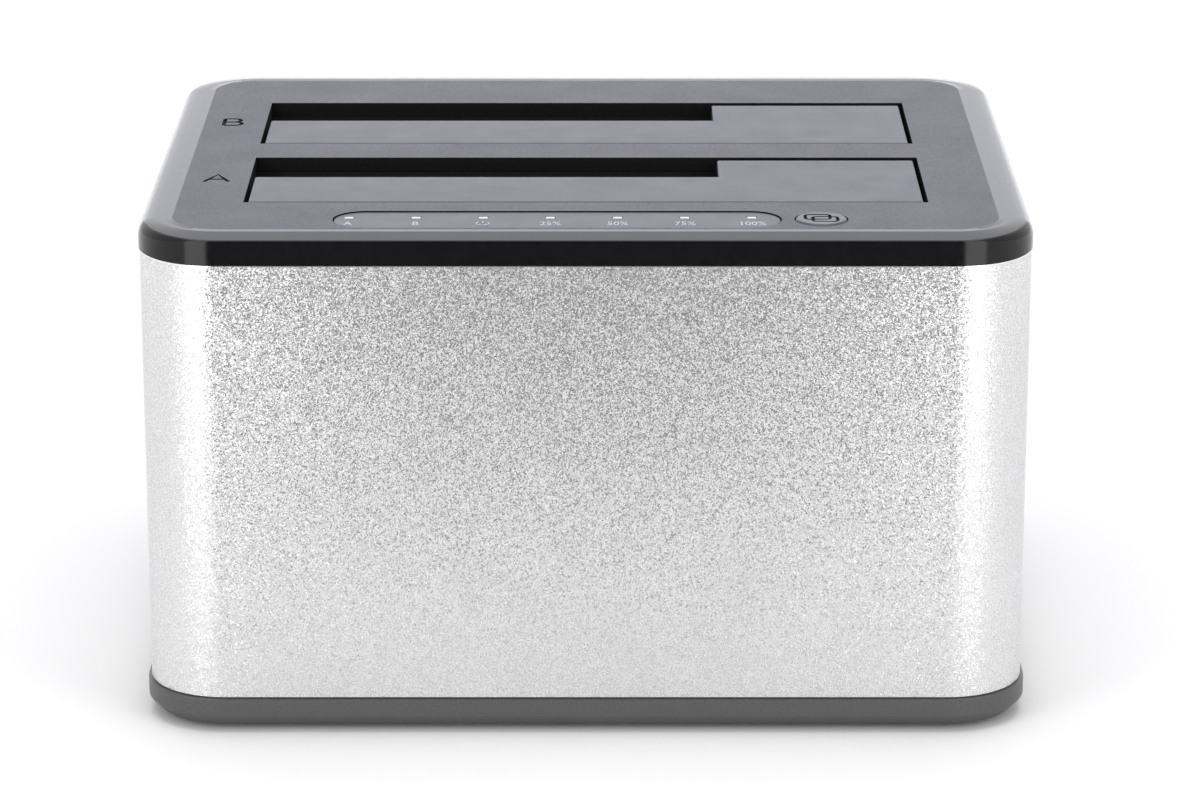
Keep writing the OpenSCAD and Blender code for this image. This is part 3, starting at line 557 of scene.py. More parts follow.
class Bench:
    """Modelling moves that every sub-assembly uses."""

    wire_steps: ClassVar[int] = 2
    letter_steps: ClassVar[int] = 4

    @staticmethod
    def take(*pieces: bpy.types.Object) -> None:
        """Select only these pieces, with the first one active.

        Args:
            pieces: The pieces.
        """
        bpy.ops.object.select_all(action="DESELECT")
        for piece in pieces:
            piece.select_set(True)
        bpy.context.view_layer.objects.active = pieces[0]

    def lift(self, node: str, name: str) -> bpy.types.Object:
        """Start a piece from a CAD node's own shape, with its loose triangles joined.

        Args:
            node: The CAD node.
            name: The new piece's name.

        Returns:
            The new piece, at the origin as the node is.
        """
        piece = bpy.data.objects.new(name, frame["nodes"][node].data.copy())
        bpy.context.scene.collection.objects.link(piece)
        self.take(piece)
        bpy.ops.mesh.customdata_custom_splitnormals_clear()
        piece.data.materials.clear()
        bpy.ops.object.mode_set(mode="EDIT")
        bpy.ops.mesh.select_all(action="SELECT")
        bpy.ops.mesh.remove_doubles(threshold=MERGE)
        bpy.ops.mesh.dissolve_limited(angle_limit=FLAT_TURN)
        self.done()
        return piece

    def block(self, name: str, low: Vector, high: Vector) -> bpy.types.Object:
        """Add a block between two corners.

        Args:
            name: The piece's name.
            low: Its lowest corner.
            high: Its highest corner.

        Returns:
            The block, with its place in its mesh.
        """
        bpy.ops.object.select_all(action="DESELECT")
        bpy.ops.mesh.primitive_cube_add(size=1, location=(low + high) / 2, scale=high - low)
        return self.settle(bpy.context.object, name)

    def settle(self, piece: bpy.types.Object, name: str) -> bpy.types.Object:
        """Name a piece and move its place, turn and size into its mesh.

        Args:
            piece: The piece.
            name: Its name.

        Returns:
            The piece.
        """
        piece.name = name
        self.take(piece)
        bpy.ops.object.transform_apply(location=True, rotation=True, scale=True)
        return piece

    def pick(self, piece: bpy.types.Object, part: Part, rule: Rule) -> None:
        """Enter edit mode with the faces or edges selected that a rule accepts.

        Args:
            piece: The piece.
            part: Whether faces or edges are picked.
            rule: The rule, by a face's middle and normal or by an edge's two ends.
        """
        self.take(piece)
        bpy.ops.object.mode_set(mode="EDIT")
        bpy.ops.mesh.select_mode(type=part.value)
        bpy.ops.mesh.select_all(action="DESELECT")
        mesh = bmesh.from_edit_mesh(piece.data)
        if part is Part.FACE:
            for face in mesh.faces:
                face.select_set(rule(face.calc_center_median(), face.normal))
        else:
            for edge in mesh.edges:
                edge.select_set(rule(edge.verts[0].co, edge.verts[1].co))
        bmesh.update_edit_mesh(piece.data)

    @staticmethod
    def move_picked(piece: bpy.types.Object, move: Move) -> None:
        """Move every selected corner of a piece in edit mode.

        Args:
            piece: The piece.
            move: Gives each corner's new place.
        """
        mesh = bmesh.from_edit_mesh(piece.data)
        for corner in mesh.verts:
            if corner.select:
                corner.co = move(corner.co)
        bmesh.update_edit_mesh(piece.data)

    @staticmethod
    def done() -> None:
        """Leave edit mode."""
        bpy.ops.object.mode_set(mode="OBJECT")

    def reshape(self, piece: bpy.types.Object, move: Move) -> None:
        """Move every corner of a piece.

        Args:
            piece: The piece.
            move: Gives each corner's new place.
        """
        self.pick(piece, Part.FACE, lambda middle, normal: True)
        self.move_picked(piece, move)
        self.done()

    def round_edges(self, piece: bpy.types.Object, rule: Rule, width: float, steps: int) -> None:
        """Round the edges that a rule accepts by their two ends.

        Args:
            piece: The piece.
            rule: The rule.
            width: Width of the round.
            steps: Its number of steps.
        """
        self.pick(piece, Part.EDGE, rule)
        bpy.ops.mesh.bevel(
            offset=width, segments=steps, profile=0.5, affect="EDGES", clamp_overlap=False)
        self.done()

    def finish(self, piece: bpy.types.Object, kind: str, **settings: object) -> None:
        """Add a modifier and apply it.

        Args:
            piece: The piece.
            kind: The modifier's Blender type.
            settings: Its settings.
        """
        self.take(piece)
        modifier = piece.modifiers.new(kind.lower(), kind)
        for name, value in settings.items():
            setattr(modifier, name, value)
        bpy.ops.object.modifier_apply(modifier=modifier.name)

    def soften(self, piece: bpy.types.Object, width: float, steps: int = 2, turn: float = 30) -> None:
        """Break every edge past an angle in degrees, and smooth the shading between."""
        self.finish(piece, "BEVEL", width=width, segments=steps, limit_method="ANGLE",
                    angle_limit=math.radians(turn), use_clamp_overlap=False, harden_normals=False)
        self.smooth(piece)

    def smooth(self, piece: bpy.types.Object, turn: float = 40) -> None:
        """Smooth a piece's shading and keep its flat faces flat.

        Args:
            piece: The piece.
            turn: Angle up to which it is smooth, in degrees.
        """
        self.take(piece)
        bpy.ops.object.shade_smooth_by_angle(angle=math.radians(turn))
        self.finish(piece, "WEIGHTED_NORMAL", keep_sharp=True, weight=60)

    def cut(self, piece: bpy.types.Object, cutter: bpy.types.Object) -> None:
        """Cut one piece with another and drop the cutter."""
        self.finish(piece, "BOOLEAN", operation="DIFFERENCE", object=cutter, solver="EXACT",
                    material_mode="TRANSFER")
        bpy.data.objects.remove(cutter)

    def join(self, name: str, *pieces: bpy.types.Object) -> bpy.types.Object:
        """Join pieces into the first one.

        Args:
            name: The joined piece's name.
            pieces: The pieces.

        Returns:
            The joined piece.
        """
        self.take(*pieces)
        bpy.ops.object.join()
        pieces[0].name = name
        return pieces[0]

    def wire_line(
        self,
        name: str,
        points: Sequence[Vector],
        radius: float,
        closed: bool = False,
    ) -> bpy.types.Object:
        """Draw a round line through points.

        Args:
            name: The piece's name.
            points: The points.
            radius: Half the line's width.
            closed: Whether the line ends where it starts.

        Returns:
            The line as a mesh.
        """
        curve = bpy.data.curves.new(name, "CURVE")
        curve.dimensions = "3D"
        curve.bevel_depth = radius
        curve.bevel_resolution = self.wire_steps
        curve.use_fill_caps = not closed
        line = curve.splines.new("POLY")
        line.points.add(len(points) - 1)
        for point, place in zip(line.points, points):
            point.co = (*place, 1)
        line.use_cyclic_u = closed
        piece = bpy.data.objects.new(name, curve)
        bpy.context.scene.collection.objects.link(piece)
        self.take(piece)
        bpy.ops.object.convert(target="MESH")
        return self.settle(bpy.context.object, name)

    def lettering(self, words: str, size: float, at: Vector, thick: float) -> bpy.types.Object:
        """Set generic lettering that faces up and reads from the front.

        Args:
            words: The letters.
            size: Their full size.
            at: Their middle.
            thick: Half their thickness.

        Returns:
            The lettering as a mesh.
        """
        bpy.ops.object.select_all(action="DESELECT")
        bpy.ops.object.text_add(location=at)
        text = bpy.context.object
        text.data.body = words
        text.data.size = size
        text.data.align_x = "CENTER"
        text.data.align_y = "CENTER"
        text.data.extrude = thick
        text.data.resolution_u = self.letter_steps
        bpy.ops.object.convert(target="MESH")
        return self.settle(bpy.context.object, f"letters_{words}")

    @staticmethod
    def coat(piece: bpy.types.Object, finish: Finishes) -> None:
        """Give the whole piece one finish."""
        piece.data.materials.clear()
        piece.data.materials.append(finish.value.material())

    def coat_faces(self, piece: bpy.types.Object, finish: Finishes, rule: Rule) -> None:
        """Give the faces that a rule accepts another finish.

        Args:
            piece: The piece.
            finish: The finish.
            rule: The rule, by a face's middle and normal.
        """
        piece.data.materials.append(finish.value.material())
        self.pick(piece, Part.FACE, rule)
        piece.active_material_index = len(piece.data.materials) - 1
        bpy.ops.object.material_slot_assign()
        self.done()


@dataclass
class SubAssembly:
    """A group of pieces that are made and fitted together."""

    bench: Bench
    bodies: ClassVar[dict[str, str]] = {
        node: body for body, nodes in frame["record"]["behaviour"]["bodies"].items() for node in nodes
    }

    def start(self, node: str, name: str, finish: Finishes) -> bpy.types.Object:
        """Start a piece from a node's own shape, in one finish.

        Args:
            node: The CAD node.
            name: The piece's name.
            finish: The finish.

        Returns:
            The piece.
        """
        piece = self.bench.lift(node, name)
        self.bench.coat(piece, finish)
        return piece

    def fit(self, piece: bpy.types.Object, node: str, slot: str, replace: bool = True) -> None:
        """Make a piece ride with a node's body, and hide the node where it replaces it.

        Args:
            piece: The piece.
            node: The CAD node that carries it or that it replaces.
            slot: The record's material slot; not used.
            replace: Whether the node is hidden.
        """
        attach(piece, self.bodies[node])
        if replace:
            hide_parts(node)
        log.info("%s: %d faces, rides on %s", piece.name, len(piece.data.polygons), self.bodies[node])

    def close(self, piece: bpy.types.Object, node: str, edge: float, slot: str, steps: int = 2) -> None:
        """Break a piece's edges, of a width in millimetres, and fit it for its node."""
        self.bench.soften(piece, edge * MM, steps)
        self.fit(piece, node, slot)

    def plain(self, node: str, name: str, finish: Finishes, edge: float, slot: str) -> None:
        """Make a piece that needs one finish and broken edges only."""
        self.close(self.start(node, name, finish), node, edge, slot)

    def build(self) -> None:
        """Make the sub-assembly's pieces."""
        raise NotImplementedError


@dataclass(frozen=True)
class Rim:
    """The cover's glossy rim: a flat ledge, a slope and an edge that is rounder at the sides.

    Each cross-section lists how far out from the outline's core a corner lies, and how far down,
    in millimetres.
    """

    front: tuple[Pair, ...] = (
        (7.15, 0.05), (8.5, 0.0), (8.75, 0.03), (11.85, 0.47), (12.03, 0.53), (12.12, 0.63),
        (12.15, 0.78), (12.15, 1.0), (12.15, 4.0),
    )
    side: tuple[Pair, ...] = (
        (7.15, 0.05), (8.4, 0.0), (9.8, 0.05), (10.75, 0.2), (11.3, 0.5), (11.7, 0.95),
        (12.0, 1.5), (12.15, 2.2), (12.15, 4.0),
    )
    inner: float = 7.0 * MM
    outer: float = 12.15 * MM

    def spoke(self, place: Vector) -> Vector:
        """Return the level line out to a place from the nearest point of the outline's core.

        Args:
            place: The place.

        Returns:
            The line, as long as the place is far from the core.
        """
        reach = BOXES["top_cover"][1]
        core_x, core_y = reach.x - self.outer, reach.y - self.outer
        near_x = min(max(place.x, -core_x), core_x)
        near_y = min(max(place.y, -core_y), core_y)
        return Vector((place.x - near_x, place.y - near_y, 0))

    def set_out(self, place: Vector, away: float, level: float) -> Vector:
        """Return the place on the same spoke at another distance and level.

        Args:
            place: The place.
            away: Its new distance from the core.
            level: Its new height.

        Returns:
            The new place.
        """
        spoke = self.spoke(place)
        foot = Vector((place.x, place.y, 0)) - spoke
        return foot + spoke.normalized() * away + Vector((0, 0, level))

    def step_to(self, place: Vector, step: int, top: float) -> Vector:
        """Return where a corner of the rim lies at one step of its cross-section.

        Args:
            place: A place on the same spoke.
            step: Which point of the cross-section.
            top: The cover's top.

        Returns:
            The corner's place.
        """
        share = self.spoke(place).normalized().x ** 2
        (front_out, front_drop), (side_out, side_drop) = self.front[step], self.side[step]
        away = front_out + (side_out - front_out) * share
        drop = front_drop + (side_drop - front_drop) * share
        return self.set_out(place, away * MM, top - drop * MM)

    def loop(self, away: float, level: float) -> Rule:
        """Return a rule for the edges of one loop round the cover.

        Args:
            away: The loop's distance from the core.
            level: The loop's height.

        Returns:
            The rule.
        """
        return lambda a, b: all(
            abs(p.z - level) < HAIR and abs(self.spoke(p).length - away) < HAIR for p in (a, b))


@dataclass
class Shell(SubAssembly):
    """Sleeve, cover, base and feet."""

    cut_edge: float = 0.3 * MM
    cut_steps: int = 3
    cut_lean: float = 0.15
    wall_from: float = 11.2 * MM
    arc_edge: float = 4 * MM
    arc_cuts: int = 2
    rim_lean: float = 0.1
    rim_rise: float = 0.5
    flat_slack: float = 1e-4
    rim: ClassVar[Rim] = Rim()
    top: ClassVar[float] = BOXES["top_cover"][1].z
    seat: ClassVar[float] = BOXES["sleeve"][1].z

    def sleeve(self) -> None:
        """Make the blasted sleeve with its cut ends."""
        low, high = BOXES["sleeve"]
        piece = self.start("sleeve", "sleeve_shell", Finishes.BLASTED)

        def at_end(a: Vector, b: Vector) -> bool:
            """Accept the outer rim of either end."""
            level = abs(a.z - b.z) < HAIR and min(a.z - low.z, high.z - a.z) < HAIR
            return level and self.rim.spoke((a + b) / 2).length > self.wall_from

        self.bench.round_edges(piece, at_end, self.cut_edge, self.cut_steps)
        self.bench.coat_faces(piece, Finishes.CUT_EDGE, lambda middle, n: abs(n.z) > self.cut_lean)
        self.bench.smooth(piece)
        self.fit(piece, "sleeve", "sandblasted_aluminium")

    def on_rim(self, middle: Vector, normal: Vector) -> bool:
        """Tell whether a face belongs to the slope, the round or the band.

        Args:
            middle: The face's middle.
            normal: Its normal.

        Returns:
            Whether it does.
        """
        spoke = self.rim.spoke(middle)
        outward = normal.dot(spoke.normalized()) > self.rim_lean or normal.z > self.rim_rise
        return spoke.length > self.rim.inner and middle.z > self.seat + HAIR and outward

    def on_top(self, middle: Vector, normal: Vector) -> bool:
        """Tell whether a face belongs to the flat top inside the rim."""
        flat = Facing.UP.holds(normal, self.flat_slack) and self.top - middle.z < HAIR
        return flat and self.rim.spoke(middle).length < self.rim.inner

    def refine_loop(self, piece: bpy.types.Object, away: float, level: float) -> None:
        """Give the round corners of one loop of edges more steps.

        Args:
            piece: The cover.
            away: The loop's distance from the outline's core.
            level: The loop's height.
        """
        on_loop = self.rim.loop(away, level)
        self.bench.pick(
            piece, Part.EDGE, lambda a, b: on_loop(a, b) and (a - b).length < self.arc_edge)
        bpy.ops.mesh.subdivide(number_cuts=self.arc_cuts)
        self.bench.move_picked(piece, lambda p: self.rim.set_out(p, away, level))
        self.bench.done()

    def lay_rim(self, piece: bpy.types.Object) -> None:
        """Swap the plain slope and band for the finer rim.

        Args:
            piece: The cover.
        """
        rim = self.rim
        self.bench.pick(piece, Part.FACE, self.on_rim)
        bpy.ops.mesh.delete(type="FACE")
        self.bench.done()
        self.refine_loop(piece, rim.inner, self.top)
        self.refine_loop(piece, rim.outer, self.seat)
        self.bench.pick(piece, Part.EDGE, rim.loop(rim.inner, self.top))
        for step in range(len(rim.front)):
            bpy.ops.mesh.extrude_region_move()
            self.bench.move_picked(piece, lambda p: rim.step_to(p, step, self.top))
        self.bench.done()
        last = rim.loop(rim.outer, self.top - rim.front[-1][1] * MM)
        first = rim.loop(rim.outer, self.seat)
        self.bench.pick(piece, Part.EDGE, lambda a, b: last(a, b) or first(a, b))
        bpy.ops.mesh.bridge_edge_loops()
        self.bench.done()

    def cover(self) -> None:
        """Make the cover: a matte top with engraved letters inside a glossy rim and band."""
        piece = self.start("top_cover", "cover_moulding", Finishes.COVER_INSIDE)
        self.lay_rim(piece)
        self.bench.coat_faces(piece, Finishes.COVER_GLOSS, self.on_rim)
        self.bench.coat_faces(piece, Finishes.COVER_MATTE, self.on_top)
        SlotLetters(self.bench).engrave(piece)
        self.bench.smooth(piece)
        self.fit(piece, "top_cover", "cover_plastic")

    def build(self) -> None:
        """Make the sleeve, base, feet and cover."""
        self.sleeve()
        self.plain("base_tray", "base_moulding", Finishes.BASE, 0.15, "base_plastic")
        self.plain("rubber_feet", "foot_pads", Finishes.RUBBER, 0.3, "foot_rubber")
        self.cover()


@dataclass
class SlotLetters(SubAssembly):
    """Engraved letters A and B beside the slots."""

    stroke: float = 0.32 * MM
    letter_w: float = 3.8 * MM
    letter_h: float = 4.4 * MM
    b_share: float = 0.78
    bar_share: float = 0.3
    bowl_reach: Pair = (1.75, 1.95)
    arc_steps: int = 12
    a_at: Pair = (-57.1 * MM, -18.1 * MM)
    b_at: Pair = (-57.3 * MM, 18.8 * MM)

    def bowl(self, x: float, low: float, high: float, reach: float) -> list[Vector]:
        """Return the points of one bowl of a B.

        Args:
            x: The upright stroke's place.
            low: The bowl's foot.
            high: The bowl's head.
            reach: How far it reaches to the right.

        Returns:
            The points, from head to foot.
        """
        half = (high - low) / 2
        straight = reach - half
        points = [Vector((x, high, 0))]
        for i in range(self.arc_steps + 1):
            turn = math.pi / 2 - math.pi * i / self.arc_steps
            out, up = half * math.cos(turn), half * math.sin(turn)
            points.append(Vector((x + straight + out, low + half + up, 0)))
        points.append(Vector((x, low, 0)))
        return points

    def engrave(self, cover: bpy.types.Object) -> None:
        """Cut both letters into the cover's top.

        Args:
            cover: The cover.
        """
        w, h = self.letter_w / 2, self.letter_h / 2
        b_w = w * self.b_share
        bar = -self.bar_share * h
        inner = w * (h - bar) / (2 * h)
        upper, lower = self.bowl_reach
        strokes = [
            (self.a_at, [Vector((-w, -h, 0)), Vector((0, h, 0)), Vector((w, -h, 0))]),
            (self.a_at, [Vector((-inner, bar, 0)), Vector((inner, bar, 0))]),
            (self.b_at, [Vector((-b_w, -h, 0)), Vector((-b_w, h, 0))]),
            (self.b_at, self.bowl(-b_w, 0, h, upper * b_w)),
            (self.b_at, self.bowl(-b_w, -h, 0, lower * b_w)),
        ]
        for at, points in strokes:
            lift = Vector((*at, BOXES["top_cover"][1].z))
            line = self.bench.wire_line("letter_stroke", [p + lift for p in points], self.stroke)
            self.bench.coat(line, Finishes.LETTER_GROOVE)
            self.bench.cut(cover, line)


@dataclass
class Flaps(SubAssembly):
    """The two sprung flaps with their pins and springs."""

    coil_turn: float = 60

    def build(self) -> None:
        """Make each bay's flap, hinge pin and springs."""
        for bay in ("a", "b"):
            self.plain(f"flap_{bay}", f"flap_plate_{bay}", Finishes.FLAP, 0.3, "flap_plastic")
            self.plain(f"hinge_pin_{bay}", f"ground_pin_{bay}", Finishes.PIN, 0.2, "pin_steel")
            springs = self.start(f"flap_springs_{bay}", f"spring_pair_{bay}", Finishes.SPRING)
            self.bench.smooth(springs, self.coil_turn)
            self.fit(springs, f"flap_springs_{bay}", "spring_steel")


@dataclass
class IndicatorPanel(SubAssembly):
    """The strip, its lit windows and its printed labels, and the board below."""

    labels: tuple[str, ...] = ("A", "B", "", "25%", "50%", "75%", "100%")
    label_size: float = 2.9 * MM
    label_narrow: float = 0.66
    label_y: float = -45.1 * MM
    print_thick: float = 0.02 * MM
    pitch: float = 10.07 * MM
    sunk: float = 0.15 * MM
    groove: float = 0.12 * MM
    window_share: float = 0.48
    window_half: float = 1.4 * MM
    window_reach: float = 1.2 * MM
    lit_end: float = 1.2 * MM
    ring_share: float = 0.33
    ring_start: float = 130
    ring_turn: float = 280
    ring_steps: int = 24
    bar_ends: Pair = (0.1, 1.25)
    mark_line: float = 0.1 * MM

    def light_y(self) -> float:
        """Return how far back the row of lights lies."""
        low, high = BOXES["status_leds"]
        return (low.y + high.y) / 2

    def narrowed(self, place: Vector) -> Vector:
        """Return a window's corner drawn in to the size that shows lit."""
        middle = self.light_y()
        return Vector((place.x, middle + (place.y - middle) * self.window_share, place.z))

    def strip(self) -> None:
        """Make the strip, a little lower and smaller than its recess, with narrow windows."""
        low, high = BOXES["indicator_strip"]
        first, last = BOXES["light_guide"][0].x, BOXES["light_guide"][1].x
        middle = self.light_y()
        round_r = (high.y - low.y) / 2
        across = (high.y + low.y) / 2
        piece = self.start("indicator_strip", "satin_strip", Finishes.STRIP)

        def shaped(p: Vector) -> Vector:
            """Move a window's corner in, and draw the outline in from the recess.

            Args:
                p: A corner of the strip.

            Returns:
                Its new place.
            """
            level = min(p.z, high.z - self.sunk)
            if abs(p.y - middle) < self.window_reach and first < p.x < last:
                return self.narrowed(Vector((p.x, p.y, level)))
            core_x = min(max(p.x, low.x + round_r), high.x - round_r)
            spoke = Vector((p.x - core_x, p.y - across, 0))
            return Vector((p.x, p.y, level)) - spoke.normalized() * self.groove

        self.bench.reshape(piece, shaped)
        self.close(piece, "indicator_strip", 0.08, "strip_plastic")

    def windows(self) -> None:
        """Make the clear guide with a lit end in each window."""
        piece = self.start("light_guide", "clear_guide", Finishes.CLEAR)
        top = BOXES["light_guide"][1].z - self.sunk
        foot = BOXES["top_cover"][1].z - self.lit_end

        def lowered(p: Vector) -> Vector:
            """Draw in and lower the corners that show."""
            return self.narrowed(Vector((p.x, p.y, top))) if p.z > foot else p

        self.bench.reshape(piece, lowered)
        self.bench.coat_faces(
            piece, Finishes.LIT, lambda middle, n: Facing.UP.holds(n) and top - middle.z < HAIR)
        self.close(piece, "light_guide", 0.1, "clear_plastic")

    def power_mark(self, at: Vector) -> bpy.types.Object:
        """Draw the usual power mark: an open ring with a bar in its gap.

        Args:
            at: The mark's middle.

        Returns:
            The mark.
        """
        radius = self.ring_share * self.label_size
        ring = []
        for i in range(self.ring_steps + 1):
            turn = math.radians(self.ring_start + self.ring_turn * i / self.ring_steps)
            ring.append(at + Vector((radius * math.cos(turn), radius * math.sin(turn), 0)))
        bar = [at + Vector((0, share * radius, 0)) for share in self.bar_ends]
        lines = [self.bench.wire_line("power_line", points, self.mark_line) for points in (ring, bar)]
        return self.bench.join("power_mark", *lines)

    def print_labels(self) -> None:
        """Print the small labels in front of the windows."""
        first = BOXES["light_guide"][0].x + self.window_half
        strip_top = BOXES["indicator_strip"][1].z - self.sunk
        prints = []
        for i, words in enumerate(self.labels):
            at = Vector((first + i * self.pitch, self.label_y, strip_top))
            if words:
                made = self.bench.lettering(words, self.label_size, at, self.print_thick)
                self.bench.reshape(
                    made, lambda p: Vector((at.x + (p.x - at.x) * self.label_narrow, p.y, p.z)))
                prints.append(made)
            else:
                prints.append(self.power_mark(at))
        piece = self.bench.join("strip_labels", *prints)
        self.bench.coat(piece, Finishes.WHITE_INK)
        self.fit(piece, "indicator_strip", "led_white", replace=False)

    def build(self) -> None:
        """Make the strip, windows, labels and the board's pieces."""
        self.strip()
        self.windows()
        self.print_labels()
        self.plain("led_board", "light_board", Finishes.BOARD, 0.05, "board_laminate")
        self.plain("status_leds", "light_lenses", Finishes.LENS, 0.08, "led_white")
        self.plain("led_resistors", "light_resistors", Finishes.CHIP, 0.05, "chip_black")


@dataclass
class CloneButton(SubAssembly):
    """The round copy button with its icon, push switch and plunger."""

    icon_w: float = 3.7 * MM
    icon_h: float = 2.7 * MM
    icon_round: float = 0.6 * MM
    icon_step: Pair = (1.1 * MM, 1.2 * MM)
    corner_steps: int = 4
    stroke: float = 0.25 * MM
    gap: float = 0.12 * MM
    cap_share: float = 0.46
    cap_deep: float = 2.2 * MM

    def sheet_outline(self, middle: Vector) -> list[Vector]:
        """Return a sheet's outline, with round corners.

        Args:
            middle: The sheet's middle.

        Returns:
            The outline's points.
        """
        points = []
        reach = Vector((self.icon_w / 2 - self.icon_round, self.icon_h / 2 - self.icon_round, 0))
        for quarter, (sx, sy) in enumerate(((1, 1), (-1, 1), (-1, -1), (1, -1))):
            for i in range(self.corner_steps + 1):
                turn = math.pi / 2 * (quarter + i / self.corner_steps)
                bend = Vector((math.cos(turn), math.sin(turn), 0)) * self.icon_round
                points.append(middle + Vector((sx * reach.x, sy * reach.y, 0)) + bend)
        return points

    def cap(self) -> None:
        """Make the button's cap and engrave two overlapping sheets in it."""
        low, high = BOXES["clone_button"]
        middle = Vector(((low.x + high.x) / 2, (low.y + high.y) / 2, high.z))
        piece = self.start("clone_button", "button_cap", Finishes.BUTTON)

        def drawn_in(p: Vector) -> Vector:
            """Widen the dark gap round the cap.

            Args:
                p: A corner of the button.

            Returns:
                Its new place.
            """
            spoke = Vector((p.x - middle.x, p.y - middle.y, 0))
            wide = spoke.length > (high.x - low.x) * self.cap_share and p.z > middle.z - self.cap_deep
            return p - spoke.normalized() * self.gap if wide else p

        self.bench.reshape(piece, drawn_in)
        self.bench.soften(piece, self.gap)
        for side in (-1, 1):
            at = middle + Vector((side * self.icon_step[0] / 2, -side * self.icon_step[1] / 2, 0))
            line = self.bench.wire_line("sheet", self.sheet_outline(at), self.stroke, closed=True)
            self.bench.coat(line, Finishes.LETTER_GROOVE)
            self.bench.cut(piece, line)
        self.bench.smooth(piece)
        self.fit(piece, "clone_button", "button_plastic")

    def build(self) -> None:
        """Make the button, icon, switch and plunger."""
        self.cap()
        self.plain("push_switch", "switch_body", Finishes.SWITCH, 0.1, "switch_black")
        self.plain("switch_plunger", "plunger_post", Finishes.PLUNGER, 0.1, "plunger_plastic")


@dataclass
class Boards(SubAssembly):
    """The main board with what is soldered to it, and the ribbon."""

    stripe_from: float = 0.86
    upright: float = 0.1
    leg_long: float = 1.05 * MM

    def capacitors(self) -> None:
        """Make the sleeved cans with bare tops and a polarity stripe."""
        piece = self.start("capacitors", "sleeved_cans", Finishes.CAN_SLEEVE)
        self.bench.coat_faces(piece, Finishes.CAN_TOP, lambda middle, n: Facing.UP.holds(n))
        self.bench.coat_faces(
            piece, Finishes.CAN_STRIPE,
            lambda middle, n: n.x > self.stripe_from and abs(n.z) < self.upright)
        self.close(piece, "capacitors", 0.35, "capacitor_can", steps=3)

    def chip(self) -> None:
        """Make the bridge chip with tinned legs."""
        low, high = BOXES["bridge_chip"]
        body = (high.x - low.x) / 2 - self.leg_long
        centre = (low + high) / 2
        piece = self.start("bridge_chip", "chip_package", Finishes.CHIP)

        def leg(middle: Vector, normal: Vector) -> bool:
            """Accept the faces outside the package's body."""
            return max(abs(middle.x - centre.x), abs(middle.y - centre.y)) > body

        self.bench.coat_faces(piece, Finishes.TIN, leg)
        self.close(piece, "bridge_chip", 0.04, "chip_black", steps=1)

    def build(self) -> None:
        """Make the board and everything on it."""
        self.plain("main_board", "green_board", Finishes.BOARD, 0.08, "board_laminate")
        self.chip()
        self.capacitors()
        self.plain("inductors", "ferrite_blocks", Finishes.FERRITE, 0.25, "inductor_ferrite")
        self.plain("crystal", "crystal_case", Finishes.TIN, 0.2, "crystal_can")
        self.plain("ribbon_cable", "flat_ribbon", Finishes.RIBBON, 0.1, "ribbon_grey")
        for end in ("upper", "lower"):
            self.plain(f"{end}_header", f"{end}_plug", Finishes.NYLON, 0.2, "header_nylon")
        for bay in ("a", "b"):
            self.plain(
                f"sata_socket_{bay}", f"drive_plug_{bay}", Finishes.CONNECTOR, 0.12, "connector_black")
            self.plain(
                f"sata_contacts_{bay}", f"gold_blades_{bay}", Finishes.GOLD, 0.04, "contact_gold")


@dataclass
class RearPorts(SubAssembly):
    """Data port, power inlet and power switch on the back."""

    mark_size: float = 3.0 * MM
    mark_thick: float = 0.02 * MM
    half_lean: float = 0.1

    def rocker_marks(self, rocker: bpy.types.Object) -> None:
        """Print the usual on and off marks on the two halves of the rocker.

        Args:
            rocker: The rocker.
        """
        outer = [f for f in rocker.data.polygons if Facing.BACK.holds(f.normal, self.half_lean)]
        halves = sorted(outer, key=lambda face: face.area)[-2:]
        halves.sort(key=lambda face: face.center.x)
        prints = []
        for mark, half in zip("OI", halves):
            across = Vector((0, 0, 1)).cross(half.normal)
            turn = Matrix((across, half.normal.cross(across), half.normal)).transposed().to_4x4()
            made = self.bench.lettering(mark, self.mark_size, Vector(), self.mark_thick)
            made.matrix_world = Matrix.Translation(half.center) @ turn
            prints.append(self.bench.settle(made, made.name))
        piece = self.bench.join("rocker_marks", *prints)
        self.bench.coat(piece, Finishes.WHITE_INK)
        self.fit(piece, "power_rocker", "led_white", replace=False)

    def build(self) -> None:
        """Make the ports and the rocker."""
        self.plain("usb_shell", "port_shell", Finishes.TIN, 0.12, "port_steel")
        self.plain("usb_insert", "port_insert", Finishes.PORT_BLUE, 0.1, "port_blue")
        self.plain("power_inlet", "inlet_block", Finishes.CONNECTOR, 0.2, "connector_black")
        self.plain("power_inlet_pin", "inlet_pin", Finishes.GOLD, 0.25, "contact_gold")
        self.plain("power_switch_housing", "switch_frame", Finishes.SWITCH, 0.2, "switch_black")
        rocker = self.start("power_rocker", "rocker_cap", Finishes.ROCKER)
        self.rocker_marks(rocker)
        self.close(rocker, "power_rocker", 0.25, "rocker_plastic")


